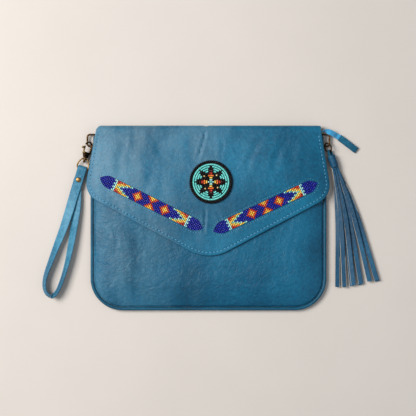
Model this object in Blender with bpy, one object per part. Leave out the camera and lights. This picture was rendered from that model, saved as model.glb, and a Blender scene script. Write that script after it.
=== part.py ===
"""Beaded leather envelope bag, lying on its back with the flap closed.

Units are metres, +Z is up off the table, +X runs to the right of the bag and
+Y towards its folded top edge. The origin is on the table, under the middle
of the back panel, midway between the bottom seam and the folded edge.
"""

import math

import bmesh
import bpy
from mathutils import Matrix, Vector

MM = 0.001

# Gap that touching pieces keep between them, and the looser one between domed sheets
GAP = 0.3 * MM
SHEET_GAP = 0.7 * MM

# Pouch: two leather panels sewn round a piped seam
HALF_WIDTH = 140.0 * MM
TOP_HALF_WIDTH = 132.5 * MM
TAPER_START_Y = 40.0 * MM
TAPER_POWER = 1.2
BOTTOM_Y = -109.5 * MM
CORNER_RADIUS = 38.0 * MM
LEATHER = 1.4 * MM
POUCH_HEIGHT = 14.0 * MM
FACET = 17.0 * MM
DOME_REACH = 40.0 * MM
SEAM_LIFT = 2.5 * MM
SEAM_LIFT_REACH = 20.0 * MM
SEAM_LIFT_FADE = 30.0 * MM
MOUTH_DROP = 3.7 * MM
MOUTH_DROP_START_Y = 30.0 * MM
MOUTH_DOME_REACH = 14.0 * MM
PIPING_RADIUS = 2.0 * MM
FLANGE_WIDTH = 12.0 * MM
FLANGE_THICKNESS = 0.6 * MM
LINING = 0.5 * MM
LINING_INSET = 15.0 * MM
LINING_GAP = 1.3 * MM

# Rolled top edge, where the back panel turns over to become the flap
HINGE_Y = 103.0 * MM
FOLD_RADIUS = 6.5 * MM

# Flap
FLAP_TOP_SPARE = 0.4 * MM
FLAP_FLARE = 7.4 * MM
FLAP_SIDE_CORNER_Y = 28.5 * MM
FLAP_SIDE_RADIUS = 24.0 * MM
FLAP_TIP_Y = -50.7 * MM
FLAP_TIP_RADIUS = 48.0 * MM
FLAP_EDGE_Z = 8.8 * MM
FLAP_OVERHANG = 8.8 * MM
FLAP_LINING = 0.6 * MM
FLAP_LINING_INSET = 3.0 * MM
FLAP_LINING_DROP = 9.0 * MM
FLAP_BLEND = 25.0 * MM

# Round bead medallion
MEDALLION_X = 2.5 * MM
MEDALLION_Y = 43.1 * MM
MEDALLION_RADIUS = 22.4 * MM
BEAD_RING_PITCH = 1.7 * MM
BACKING_THICKNESS = 0.6 * MM
FIELD_THICKNESS = 1.3 * MM
BEAD_RIDGE = 0.25 * MM
BORDER_RADIUS = 1.2 * MM
STAR_TIP = 19.5 * MM
STAR_SMALL_TIP = 17.5 * MM
STAR_VALLEY = 8.8 * MM
STAR_SHARES = (1.0, 0.76, 0.57, 0.4, 0.22)
ARTWORK_THICKNESS = 0.5 * MM

# Loom-woven bead bands, set in windows of the flap
BAND_X = 68.0 * MM
BAND_Y = 15.2 * MM
BAND_ANGLE = math.radians(25.7)
BAND_HALF_LENGTH = 69.0 * MM
BAND_HALF_WIDTH = 7.0 * MM
BAND_TIP_LENGTH = 12.0 * MM
BAND_THICKNESS = 1.3 * MM
BEAD_PITCH = 2.0 * MM
BAND_BAR = 48.0 * MM
DIAMOND_OFFSET = 18.0 * MM
CHEVRON_SLOPE = 7.0 / 3.0

# Zip across the mouth
MOUTH_Y = 101.0 * MM
TAPE = 0.6 * MM
TAPE_INSET = 6.5 * MM
TAPE_BACK_Z = (1.7 * MM, 4.0 * MM)
TAPE_FRONT_Z = (6.4 * MM, 8.6 * MM)
CHAIN_INSET = 14.0 * MM
CHAIN_THICKNESS = 1.4 * MM
TOOTH_PITCH = 8.0 * MM
TOOTH_DEPTH = 0.7 * MM
SLIDER_LENGTH = 10.0 * MM
SLIDER_PLATE = 1.0 * MM
SLIDER_HALF_HEIGHT = 2.3 * MM
CROWN_HEIGHT = 2.6 * MM
PULL_LENGTH = 21.0 * MM
PULL_WIDTH = 4.0 * MM
PULL_THICKNESS = 0.9 * MM
TAIL_WIDTH = 6.5 * MM
END_TAB_WIDTH = 7.5 * MM

# Side rings and their leather tabs
RING_Y = 92.0 * MM
RING_Z = 4.2 * MM
RING_WIRE = 1.2 * MM
RING_HALF_HEIGHT = 7.0 * MM
RING_REACH = 9.0 * MM
RING_CORNER = 3.0 * MM
RING_TUCK = 0.59 * MM
TAB_WIDTH = 9.0 * MM
TAB_LEATHER = 0.9 * MM
TAB_TAIL = 9.0 * MM
TAB_TAIL_THICKNESS = 0.6 * MM

# Swivel hook of the wrist strap
CLASP_OUT = 8.0 * MM
CLASP_DOWN = 1.0 * MM
CLASP_RISE = 1.18 * MM
LOOP_CLEARANCE = 11.26 * MM
CLASP_ROLL = math.radians(50.0)
HOOK_WIRE = 1.1 * MM
HOOK_HALF_WIDTH = 5.4 * MM
HOOK_STRAIGHT = 6.6 * MM
CLASP_BODY_TOP = -6.0 * MM
CLASP_BODY_LENGTH = 7.0 * MM
CLASP_BODY_THICKNESS = 4.0 * MM
PIN_RADIUS = 1.2 * MM
PIN_HEAD_RADIUS = 2.0 * MM
BOSS_LENGTH = 2.6 * MM
BOSS_RADIUS = 2.5 * MM
LOOP_LENGTH = 13.0 * MM
LOOP_WIRE = 0.9 * MM

# Wrist strap, one strip bent to a loop and riveted
STRAP_WIDTH = 11.0 * MM
STRAP_LEAN = math.radians(2.0)
STRAP_THICKNESS = 1.8 * MM
RIVET_DROP = 14.0 * MM
RIVET_RADIUS = 3.0 * MM
RIVET_POST = 1.2 * MM
RIVET_HEAD = 0.9 * MM

# Fringed tassel on the right ring
CAP_CLEARANCE = 11.94 * MM
TASSEL_ROLL = math.radians(-45.0)
LINK_OUT = 7.3 * MM
LINK_DOWN = 1.5 * MM
LINK_RISE = 0.2 * MM
LINK_HALF_WIDTH = 4.6 * MM
LINK_HALF_LENGTH = 5.6 * MM
LINK_WIRE = 1.0 * MM
THONG_WIDTH = 3.4 * MM
THONG_THICKNESS = 1.2 * MM
CAP_DROP = 10.0 * MM
CAP_LENGTH = 14.0 * MM
CAP_RADIUS = 5.0 * MM
CAP_LEATHER = 1.0 * MM
STRAND_WIDTH = 5.0 * MM
STRAND_THICKNESS = 1.1 * MM
STRAND_LAYERS = (3, 4, 3)
TASSEL_NEAR = 8.5 * MM
TASSEL_FAR = 66.0 * MM
TASSEL_END_Y = -82.0 * MM
TASSEL_END_RISE = 10.0 * MM


def clamp(share):
    return max(0.0, min(1.0, share))


def smooth(share):
    share = clamp(share)
    return share * share * (3.0 - 2.0 * share)


def dome(share):
    return 1.0 - (1.0 - clamp(share)) ** 2


def mix(a, b, share):
    return a + (b - a) * share


def spaced(start, end, steps):
    return [mix(start, end, i / steps) for i in range(steps + 1)]


# Materials

def material(name, colour, roughness, metallic=0.0):
    made = bpy.data.materials.new(name)
    made.use_nodes = True
    shader = made.node_tree.nodes["Principled BSDF"]
    shader.inputs["Base Color"].default_value = (*colour, 1.0)
    shader.inputs["Roughness"].default_value = roughness
    shader.inputs["Metallic"].default_value = metallic
    made.diffuse_color = (*colour, 1.0)
    return made


def clear_scene():
    for thing in list(bpy.data.objects):
        bpy.data.objects.remove(thing, do_unlink=True)


clear_scene()
BLUE_LEATHER = material("blue_leather", (0.030, 0.150, 0.270), 0.45)
DARK_LEATHER = material("shaded_leather", (0.020, 0.100, 0.190), 0.55)
LINING_CLOTH = material("lining_cloth", (0.040, 0.110, 0.200), 0.85)
ZIP_CLOTH = material("zip_cloth", (0.030, 0.330, 0.680), 0.75)
ZIP_TEETH = material("zip_teeth", (0.040, 0.200, 0.420), 0.45)
ANTIQUE_BRASS = material("antique_brass", (0.160, 0.095, 0.040), 0.38, 1.0)
BRIGHT_BRASS = material("bright_brass", (0.560, 0.330, 0.120), 0.30, 1.0)
TURQUOISE = material("turquoise_beads", (0.090, 0.600, 0.560), 0.25)
COBALT = material("cobalt_beads", (0.010, 0.014, 0.240), 0.20)
BLACK = material("black_beads", (0.012, 0.008, 0.007), 0.20)
RED = material("red_beads", (0.550, 0.030, 0.012), 0.22)
ORANGE = material("orange_beads", (0.850, 0.180, 0.020), 0.22)
YELLOW = material("yellow_beads", (0.900, 0.620, 0.100), 0.22)
GREEN = material("green_beads", (0.030, 0.360, 0.240), 0.22)
WHITE = material("white_beads", (0.720, 0.850, 0.800), 0.22)


# Objects

def pivot(name, place, parent=None):
    """An empty on a joint's axis, which carries the pieces that move with it."""
    empty = bpy.data.objects.new(name, None)
    empty.empty_display_size = 10.0 * MM
    bpy.context.scene.collection.objects.link(empty)
    empty.location = place
    bpy.context.view_layer.update()
    if parent:
        carry(empty, parent)
    return empty


def carry(thing, parent):
    thing.parent = parent
    thing.matrix_parent_inverse = parent.matrix_world.inverted()
    bpy.context.view_layer.update()


def finish(name, shape, finish_material, parent=None, rounded=True):
    """Turns a bmesh into a named object with its faces pointing outwards."""
    bmesh.ops.recalc_face_normals(shape, faces=shape.faces[:])
    if shape.calc_volume(signed=True) < 0.0:
        bmesh.ops.reverse_faces(shape, faces=shape.faces[:])
    mesh = bpy.data.meshes.new(name)
    shape.to_mesh(mesh)
    shape.free()
    mesh.materials.append(finish_material)
    if rounded:
        mesh.shade_smooth()
        mesh.set_sharp_from_angle(angle=math.radians(40))
    made = bpy.data.objects.new(name, mesh)
    bpy.context.scene.collection.objects.link(made)
    if parent:
        carry(made, parent)
    return made


def boolean(target, tool, operation):
    """Cuts or joins the target by a hidden tool object."""
    tool.hide_render = True
    tool.display_type = "WIRE"
    change = target.modifiers.new(tool.name, "BOOLEAN")
    change.object = tool
    change.operation = operation
    change.solver = "EXACT"


# Outlines

def rounded_polygon(corners, steps=6):
    """Closed outline through (x, y, radius) corners, each turned by an arc."""
    points = []
    for i, (x, y, radius) in enumerate(corners):
        here = Vector((x, y))
        before = Vector(corners[i - 1][:2]) - here
        after = Vector(corners[(i + 1) % len(corners)][:2]) - here
        if radius <= 0.0:
            points.append((x, y))
            continue
        half = before.angle(after) / 2.0
        middle = (before.normalized() + after.normalized()).normalized()
        centre = here + middle * (radius / math.sin(half))
        first = here + before.normalized() * (radius / math.tan(half)) - centre
        last = here + after.normalized() * (radius / math.tan(half)) - centre
        turn = first.angle_signed(last)
        for k in range(steps + 1):
            arm = first.copy()
            arm.rotate(Matrix.Rotation(-turn * k / steps, 2))
            points.append(tuple(centre + arm))
    return points


def u_outline(side, bottom_y, corner, levels, arc_steps=7):
    """Pouch outline: right side down through the levels, round the bottom, left side up."""
    centre_y = bottom_y + corner
    right = [(side(y), y) for y in levels if y > centre_y + MM] + [(side(centre_y), centre_y)]
    centre_x = side(centre_y) - corner
    for angle in spaced(0.0, math.pi / 2.0, arc_steps)[1:]:
        right.append((centre_x + corner * math.cos(angle), centre_y - corner * math.sin(angle)))
    return right + [(-x, y) for x, y in reversed(right)]


def circle(radius, steps):
    return [(radius * math.cos(2 * math.pi * i / steps), radius * math.sin(2 * math.pi * i / steps))
            for i in range(steps)]


# Solids

def cut_lines(shape, xs, ys):
    """Cuts a flat shape along lines of constant x and of constant y."""
    for values, normal in ((xs, (1, 0, 0)), (ys, (0, 1, 0))):
        for value in values:
            everything = shape.verts[:] + shape.edges[:] + shape.faces[:]
            bmesh.ops.bisect_plane(shape, geom=everything, dist=1e-6,
                                   plane_co=Vector(normal) * value, plane_no=normal)


def sheet(outlines, lower, thickness, xs=(), ys=(), place=Matrix()):
    """Solid of a given thickness over flat outlines, lying on lower(x, y)."""
    shape = bmesh.new()
    for outline in outlines:
        shape.faces.new([shape.verts.new((x, y, 0.0)) for x, y in outline])
    cut_lines(shape, xs, ys)
    bmesh.ops.triangulate(shape, faces=shape.faces[:])
    made = bmesh.ops.extrude_face_region(shape, geom=shape.faces[:], use_keep_orig=True)
    upper = {v for v in made["geom"] if isinstance(v, bmesh.types.BMVert)}
    for v in shape.verts:
        u, w = v.co.x, v.co.y
        v.co = place @ Vector((u, w, 0.0))
        v.co.z = lower(v.co.x, v.co.y)
        if v in upper:
            v.co.z += thickness(u, w) if callable(thickness) else thickness
    return shape


def prism(outline, start, end, place=Matrix()):
    """Straight prism of a flat outline between two heights."""
    shape = bmesh.new()
    face = shape.faces.new([shape.verts.new((x, y, start)) for x, y in outline])
    made = bmesh.ops.extrude_face_region(shape, geom=[face], use_keep_orig=True)
    for v in made["geom"]:
        if isinstance(v, bmesh.types.BMVert):
            v.co.z = end
    bmesh.ops.transform(shape, matrix=place, verts=shape.verts[:])
    return shape


def turned(profile, steps, place=Matrix()):
    """Solid of revolution about Z of a profile that starts and ends on the axis."""
    shape = bmesh.new()
    points = [shape.verts.new((r, 0.0, z)) for r, z in profile]
    edges = [shape.edges.new(pair) for pair in zip(points, points[1:])]
    bmesh.ops.spin(shape, geom=points + edges, cent=(0, 0, 0), axis=(0, 0, 1),
                   angle=2 * math.pi, steps=steps, use_merge=True)
    bmesh.ops.remove_doubles(shape, verts=shape.verts[:], dist=1e-6)
    bmesh.ops.transform(shape, matrix=place, verts=shape.verts[:])
    return shape


def loft(rings, closed=False):
    """Skin over rings of points, which follow a path; open paths get end faces."""
    shape = bmesh.new()
    loops = [[shape.verts.new(point) for point in ring] for ring in rings]
    pairs = list(zip(loops, loops[1:]))
    if closed:
        pairs.append((loops[-1], loops[0]))
    else:
        shape.faces.new(loops[0][::-1])
        shape.faces.new(loops[-1])
    for a, b in pairs:
        for i in range(len(a)):
            j = (i + 1) % len(a)
            shape.faces.new((a[i], a[j], b[j], b[i]))
    return shape


def tangents(points, closed=False):
    count = len(points)
    found = []
    for i in range(count):
        before = points[i - 1] if closed or i > 0 else points[i]
        after = points[(i + 1) % count] if closed or i < count - 1 else points[i]
        found.append((after - before).normalized())
    return found


def wire(points, radius, across, closed=False, sides=6):
    """Round wire along a path whose bends lie in the plane square to across."""
    across = Vector(across).normalized()
    rings = []
    for point, tangent in zip(points, tangents(points, closed)):
        out = tangent.cross(across).normalized()
        rings.append([point + out * (radius * math.cos(2 * math.pi * k / sides))
                      + across * (radius * math.sin(2 * math.pi * k / sides))
                      for k in range(sides)])
    return loft(rings, closed)


def strip(points, widths, width_axes, thickness):
    """Flat strip along a path, with its width along the given axes."""
    rings = []
    for point, width, axis, tangent in zip(points, widths, width_axes, tangents(points)):
        axis = (axis - tangent * axis.dot(tangent)).normalized()
        up = tangent.cross(axis)
        half_width, half_thickness = width / 2.0, thickness / 2.0
        rings.append([point + axis * (a * half_width) + up * (b * half_thickness)
                      for a, b in ((-1, -1), (1, -1), (1, 1), (-1, 1))])
    return loft(rings)


def smooth_path(points, per_span=4):
    """Catmull-Rom curve through hand-chosen points of any dimension."""
    points = [Vector(p) for p in points]
    padded = [2 * points[0] - points[1]] + points + [2 * points[-1] - points[-2]]
    path = []
    for i in range(1, len(padded) - 2):
        a, b, c, d = padded[i - 1:i + 3]
        for k in range(per_span):
            t = k / per_span
            path.append(0.5 * (2 * b + (c - a) * t + (2 * a - 5 * b + 4 * c - d) * t ** 2
                               + (3 * b - a - 3 * c + d) * t ** 3))
    return path + [points[-1]]


# Pouch surfaces

PANEL_INSET = 2 * PIPING_RADIUS + GAP
TAB_TOP_Y = RING_Y + TAB_WIDTH / 2.0 + GAP
PIPING_TOP_Y = RING_Y - RING_HALF_HEIGHT - RING_WIRE - GAP
FRONT_SEAM_Z = LEATHER + 2 * GAP + FLANGE_THICKNESS
CROWN_Z = POUCH_HEIGHT - LEATHER


def side_x(y):
    """Half width of the pouch over its piping."""
    rise = clamp((y - TAPER_START_Y) / (HINGE_Y - TAPER_START_Y))
    return HALF_WIDTH - (HALF_WIDTH - TOP_HALF_WIDTH) * rise ** TAPER_POWER


def lean(x, y, reach, clearance):
    """Angle at which a piece that hangs beside the pouch keeps its far end clear of the side."""
    return math.asin((side_x(y - reach) + clearance - x) / reach)


# The rings stand beside the widest place between the piping's end and the fold
RING_BAR_X = max(side_x(PIPING_TOP_Y), side_x(RING_Y + RING_HALF_HEIGHT)) - RING_TUCK
TAPE_END_X = TOP_HALF_WIDTH - TAPE_INSET
CHAIN_END_X = TAPE_END_X - CHAIN_INSET


def panel_side_x(y):
    """Half width of a panel, which widens to the fold above the ring tabs."""
    widen = smooth((y - TAB_TOP_Y) / (HINGE_Y - TAB_TOP_Y))
    return side_x(y) - PANEL_INSET * (1.0 - widen)


def panel_distance(x, y):
    """Distance from a panel's sewn edge, measured inwards."""
    corner = CORNER_RADIUS - PANEL_INSET
    across = abs(x) - (panel_side_x(y) - corner)
    below = BOTTOM_Y + CORNER_RADIUS - y
    return corner - math.hypot(max(across, 0.0), max(below, 0.0)) - min(max(across, below), 0.0)


def near_mouth(y):
    return smooth((y - MOUTH_DROP_START_Y) / (MOUTH_Y - MOUTH_DROP_START_Y))


def near_fold(y):
    return smooth((y - HINGE_Y + FLAP_BLEND) / FLAP_BLEND)


def side_levels():
    """Heights at which the sewn sides are drawn, close together where they come down."""
    middle = PIPING_TOP_Y - SEAM_LIFT_FADE
    return spaced(PIPING_TOP_Y, middle, 4) + spaced(middle, BOTTOM_Y + CORNER_RADIUS, 4)[1:]


def seam_lift(y):
    """How far the sewn edge stands off the table; it comes down towards the ring tabs."""
    return SEAM_LIFT * (1.0 - smooth((y - PIPING_TOP_Y) / SEAM_LIFT_FADE + 1.0))


def back_lower(x, y):
    return seam_lift(y) * (1.0 - smooth(panel_distance(x, y) / SEAM_LIFT_REACH))


def front_lower(x, y):
    reach = mix(DOME_REACH, MOUTH_DOME_REACH, near_mouth(y))
    edge = seam_lift(y) + FRONT_SEAM_Z
    crown = CROWN_Z - MOUTH_DROP * near_mouth(y)
    return mix(edge, crown, dome(panel_distance(x, y) / reach))


def flap_lower(x, y):
    """Underside of the flap's leather, which bridges the pouch and its rings."""
    reach = mix(DOME_REACH, MOUTH_DOME_REACH, near_mouth(y)) + FLAP_OVERHANG
    crown = CROWN_Z + LEATHER + FLAP_LINING + 2 * SHEET_GAP - MOUTH_DROP * near_mouth(y)
    domed = mix(FLAP_EDGE_Z, crown, dome((panel_distance(x, y) + FLAP_OVERHANG) / reach))
    return mix(domed, 2 * FOLD_RADIUS - LEATHER, near_fold(y))


def grid(low_y, high_y, step):
    """Cut lines for a broad sheet, closer together where it turns down at the sides."""
    flat = TOP_HALF_WIDTH - MOUTH_DOME_REACH - 2 * MM
    columns = int(flat / step)
    xs = [i * flat / columns for i in range(-columns, columns + 1)]
    xs += [sign * (flat + MOUTH_DOME_REACH * share) for sign in (-1, 1) for share in (0.35, 0.7)]
    rows = int((high_y - low_y) / step)
    ys = [mix(low_y, high_y, (i + 0.5) / (rows + 1)) for i in range(rows + 1)]
    fade = side_levels()[:5]
    return xs, sorted([y for y in ys if not fade[-1] - 2 * MM < y < fade[0] + 2 * MM] + fade)


# Pouch pieces, all fixed to one another

def panel_outline(inset, top_y):
    levels = [top_y] + [y for y in spaced(HINGE_Y, TAB_TOP_Y, 3) if y < top_y]
    levels += side_levels()
    return u_outline(lambda y: panel_side_x(y) - inset, BOTTOM_Y + PANEL_INSET + inset,
                     CORNER_RADIUS - PANEL_INSET - inset, levels)


def make_panels():
    xs, ys = grid(BOTTOM_Y, MOUTH_Y, FACET)
    finish("front_panel", sheet([panel_outline(0.0, MOUTH_Y)], front_lower, LEATHER, xs, ys),
           BLUE_LEATHER)
    xs, ys = grid(BOTTOM_Y, HINGE_Y, 1.3 * FACET)
    finish("back_panel", sheet([panel_outline(0.0, HINGE_Y - GAP / 2)], back_lower, LEATHER, xs, ys),
           BLUE_LEATHER)


def make_linings():
    inset = LINING_INSET - PANEL_INSET
    top_y = MOUTH_Y - 3.0 * MM
    xs, ys = grid(BOTTOM_Y, MOUTH_Y, FACET)

    def under_front(x, y):
        return front_lower(x, y) - LINING_GAP - LINING

    def over_back(x, y):
        return back_lower(x, y) + LEATHER + LINING_GAP

    finish("front_lining", sheet([panel_outline(inset, top_y)], under_front, LINING, xs, ys),
           LINING_CLOTH)
    xs, ys = grid(BOTTOM_Y, MOUTH_Y, 1.3 * FACET)
    finish("back_lining", sheet([panel_outline(inset, top_y)], over_back, LINING, xs, ys),
           LINING_CLOTH)


def make_piping():
    """Leather-wrapped cord with the seam allowance that the panels clamp."""
    path = u_outline(lambda y: side_x(y) - PIPING_RADIUS, BOTTOM_Y + PIPING_RADIUS,
                     CORNER_RADIUS - PIPING_RADIUS, side_levels())
    flange_reach = FLANGE_WIDTH - PIPING_RADIUS
    half = FLANGE_THICKNESS / 2.0
    start = math.asin(half / PIPING_RADIUS)
    section = [(PIPING_RADIUS * math.cos(a), PIPING_RADIUS * math.sin(a))
               for a in spaced(start, 2 * math.pi - start, 7)]
    section += [(flange_reach, -half), (flange_reach, half)]
    points = [Vector((x, y, 0.0)) for x, y in path]
    rings = []
    for point, tangent in zip(points, tangents(points)):
        inward = tangent.cross(Vector((0, 0, -1)))
        if inward.dot(point - Vector((0, 0, 0))) > 0:
            inward = -inward
        level = seam_lift(point.y) + PIPING_RADIUS
        rings.append([point + inward * u + Vector((0, 0, level + w)) for u, w in section])
    finish("piping", loft(rings), DARK_LEATHER)


def make_fold():
    """Half-round roll of leather between the back panel and the flap."""
    outer = [(FOLD_RADIUS * math.cos(a), FOLD_RADIUS * math.sin(a))
             for a in spaced(-math.pi / 2, math.pi / 2, 10)]
    inner = [(y * (FOLD_RADIUS - LEATHER) / FOLD_RADIUS, z * (FOLD_RADIUS - LEATHER) / FOLD_RADIUS)
             for y, z in reversed(outer)]
    # The roll's section lies in the plane of Y and Z, and runs along X
    along_x = Matrix(((0, 0, 1, 0), (1, 0, 0, HINGE_Y + GAP / 2), (0, 1, 0, FOLD_RADIUS), (0, 0, 0, 1)))
    finish("flap_fold", prism(outer + inner, -TOP_HALF_WIDTH, TOP_HALF_WIDTH, along_x),
           BLUE_LEATHER)


# Zip

TAPE_Y = MOUTH_Y + GAP
CHAIN_Y = TAPE_Y - (CHAIN_THICKNESS - TAPE) / 2.0
CHAIN_MIDDLE_Z = (TAPE_BACK_Z[1] + TAPE_FRONT_Z[0]) / 2.0
# Outlines drawn in X and Z, and thickened along Y
FACING_Y = Matrix(((1, 0, 0, 0), (0, 0, -1, 0), (0, 1, 0, 0), (0, 0, 0, 1)))


def box_outline(x0, x1, y0, y1):
    return [(x0, y0), (x1, y0), (x1, y1), (x0, y1)]


def upright(outline, y0, y1):
    """Prism of an outline in X and Z, between two values of Y."""
    return prism(outline, -y1, -y0, FACING_Y)


def make_tapes():
    finish("zip_tape_front", upright(box_outline(-TAPE_END_X, TAPE_END_X, *TAPE_FRONT_Z),
                                     TAPE_Y, TAPE_Y + TAPE), ZIP_CLOTH, rounded=False)
    finish("zip_tape_back", upright(box_outline(-TAPE_END_X, TAPE_END_X, *TAPE_BACK_Z),
                                    TAPE_Y, TAPE_Y + TAPE), ZIP_CLOTH, rounded=False)


def make_teeth():
    """Two rows of teeth that mesh with a small gap between their flanks."""
    count = int(2 * CHAIN_END_X / TOOTH_PITCH)
    half = TOOTH_DEPTH / 2.0
    flank = [(-CHAIN_END_X + i * CHAIN_END_X / count, CHAIN_MIDDLE_Z + (half if i % 2 else -half))
             for i in range(2 * count + 1)]
    low, high = TAPE_BACK_Z[1] + GAP, TAPE_FRONT_Z[0] - GAP
    back = [(x, z - 0.6 * GAP) for x, z in flank] + [(CHAIN_END_X, low), (-CHAIN_END_X, low)]
    front = [(x, z + 0.6 * GAP) for x, z in flank] + [(CHAIN_END_X, high), (-CHAIN_END_X, high)]
    for name, outline in (("zip_teeth_back", back), ("zip_teeth_front", front)):
        finish(name, upright(outline, CHAIN_Y, CHAIN_Y + CHAIN_THICKNESS), ZIP_TEETH, rounded=False)


def make_bottom_stop():
    x1 = -CHAIN_END_X - GAP
    outline = box_outline(x1 - 2.0 * MM, x1, TAPE_BACK_Z[1] + GAP, TAPE_FRONT_Z[0] - GAP)
    finish("zip_bottom_stop", upright(outline, CHAIN_Y, CHAIN_Y + CHAIN_THICKNESS),
           ANTIQUE_BRASS, rounded=False)


SLIDER_X = CHAIN_END_X - 4.0 * MM
SLIDER_FACE_Y = CHAIN_Y + CHAIN_THICKNESS + GAP
CROWN_X = SLIDER_X + SLIDER_LENGTH / 2.0
PULL_AXIS = (CROWN_X, SLIDER_FACE_Y + SLIDER_PLATE + CROWN_HEIGHT / 2.0 - 0.35 * MM, CHAIN_MIDDLE_Z)


def make_slider(parent):
    """Two plates over and under the chain, joined by the post at the open end."""
    z0, z1 = CHAIN_MIDDLE_Z - SLIDER_HALF_HEIGHT, CHAIN_MIDDLE_Z + SLIDER_HALF_HEIGHT
    back_y = CHAIN_Y - GAP
    post_x = CHAIN_END_X + GAP
    # Seen from the right edge: a square C whose mouth faces the closed chain
    section = [(SLIDER_X, back_y - SLIDER_PLATE), (SLIDER_X + SLIDER_LENGTH, back_y - SLIDER_PLATE),
               (SLIDER_X + SLIDER_LENGTH, SLIDER_FACE_Y + SLIDER_PLATE),
               (SLIDER_X, SLIDER_FACE_Y + SLIDER_PLATE),
               (SLIDER_X, SLIDER_FACE_Y), (post_x, SLIDER_FACE_Y),
               (post_x, back_y), (SLIDER_X, back_y)]
    body = finish("zip_slider", prism(section, z0, z1), ANTIQUE_BRASS, parent, rounded=False)
    # The tapes run between the plates, so the post is only as thick as the gap between them
    for label, low, high in (("below", z0 - MM, TAPE_BACK_Z[1] + GAP), ("above", TAPE_FRONT_Z[0] - GAP, z1 + MM)):
        groove = prism(box_outline(SLIDER_X - MM, SLIDER_X + SLIDER_LENGTH + MM, back_y, SLIDER_FACE_Y),
                       low, high)
        boolean(body, finish("slider_groove_" + label, groove, ANTIQUE_BRASS, parent), "DIFFERENCE")
    # Bail that holds the pull
    y0 = SLIDER_FACE_Y + SLIDER_PLATE - 0.2 * MM
    bail_outer = box_outline(CROWN_X - 2.2 * MM, CROWN_X + 2.2 * MM, y0, y0 + CROWN_HEIGHT + 0.2 * MM)
    bail = prism(bail_outer, CHAIN_MIDDLE_Z - 0.5 * MM, CHAIN_MIDDLE_Z + 0.5 * MM)
    boolean(body, finish("slider_bail", bail, ANTIQUE_BRASS, parent), "UNION")
    eye = prism(box_outline(CROWN_X - 1.2 * MM, CROWN_X + 1.2 * MM, y0 + 0.2 * MM, y0 + CROWN_HEIGHT - 0.5 * MM),
                CHAIN_MIDDLE_Z - MM, CHAIN_MIDDLE_Z + MM)
    boolean(body, finish("slider_eye", eye, ANTIQUE_BRASS, parent), "DIFFERENCE")


def make_pull(parent):
    """Flat tab with a slot at its end, hooked through the slider's bail."""
    half = PULL_WIDTH / 2.0
    far = CROWN_X - PULL_LENGTH
    near = CROWN_X + 0.7 * MM
    y0 = PULL_AXIS[1] - PULL_THICKNESS / 2.0
    tab = rounded_polygon([(near, CHAIN_MIDDLE_Z - half, 0.8 * MM), (near, CHAIN_MIDDLE_Z + half, 0.8 * MM),
                           (far, CHAIN_MIDDLE_Z + half, 1.2 * MM), (far, CHAIN_MIDDLE_Z - half, 1.2 * MM)], 3)
    body = finish("zip_pull", upright(tab, y0, y0 + PULL_THICKNESS), ANTIQUE_BRASS, parent)
    slot = box_outline(CROWN_X - 3.2 * MM, CROWN_X - 0.5 * MM,
                       CHAIN_MIDDLE_Z - 0.5 * MM - GAP, CHAIN_MIDDLE_Z + 0.5 * MM + GAP)
    boolean(body, finish("pull_slot", upright(slot, y0 - MM, y0 + 2 * MM), ANTIQUE_BRASS, parent),
            "DIFFERENCE")


# Zip end outside the pouch: bare tape and a leather tab, lying on the table
# Distance past the tape's end (first two) or the ring's bar, y and z in mm, and how far the tape has
# turned from upright to lying flat
TAIL_START = [(0.3, 101.7, 5.2, 0.0), (7.4, 102.3, 5.2, 0.0)]
TAIL_PATH = [(3.9, 102.9, 6.7, 0.4), (8.9, 101.7, 7.7, 0.9), (13.9, 99.4, 5.6, 1.0), (17.2, 97.6, 2.9, 1.0),
             (20.0, 96.3, 2.0, 1.0), (27.9, 90.6, 1.9, 1.0)]
END_TAB_START = (21.0, 95.6)
END_TAB_TIP = (41.6, 80.0)


def make_tail():
    line = [(TAPE_END_X, spot) for spot in TAIL_START] + [(RING_BAR_X, spot) for spot in TAIL_PATH]
    path = smooth_path([Vector((x + past * MM, y * MM, z * MM, lying)) for x, (past, y, z, lying) in line], 3)
    points = [p.to_3d() for p in path]
    axes = []
    for point, direction in zip(path, tangents(points)):
        sideways = Vector((-direction.y, direction.x, 0.0)).normalized()
        axes.append(Vector((0, 0, 1)) * (1 - point.w) + sideways * point.w)
    finish("zip_tail", strip(points, [TAIL_WIDTH] * len(points), axes, TAPE), ZIP_CLOTH, rounded=False)


def make_end_tab():
    """Leather folded over the tape's end and stitched through."""
    bar = Vector((RING_BAR_X, 0.0))
    start = bar + Vector(END_TAB_START) * MM
    tip = bar + Vector(END_TAB_TIP) * MM
    along = (tip - start).normalized()
    length = (tip - start).length
    leather = 1.0 * MM
    slot = TAPE + 2 * GAP
    top = 2 * leather + slot
    # Side view: a U whose mouth takes the tape
    section = [(0, 0), (length - leather, 0), (length, leather * 0.7), (length, top - leather * 0.7),
               (length - leather, top), (0, top), (0, top - leather),
               (length - 2 * leather, top - leather), (length - 2 * leather, leather), (0, leather)]
    side = Vector((-along.y, along.x))
    half = END_TAB_WIDTH / 2.0
    place = Matrix(((along.x, 0, side.x, start.x), (along.y, 0, side.y, start.y),
                    (0, 1, 0, GAP), (0, 0, 0, 1)))
    finish("zip_end_tab", prism(section, -half, half, place), BLUE_LEATHER, rounded=False)


# Side rings and tabs

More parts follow.
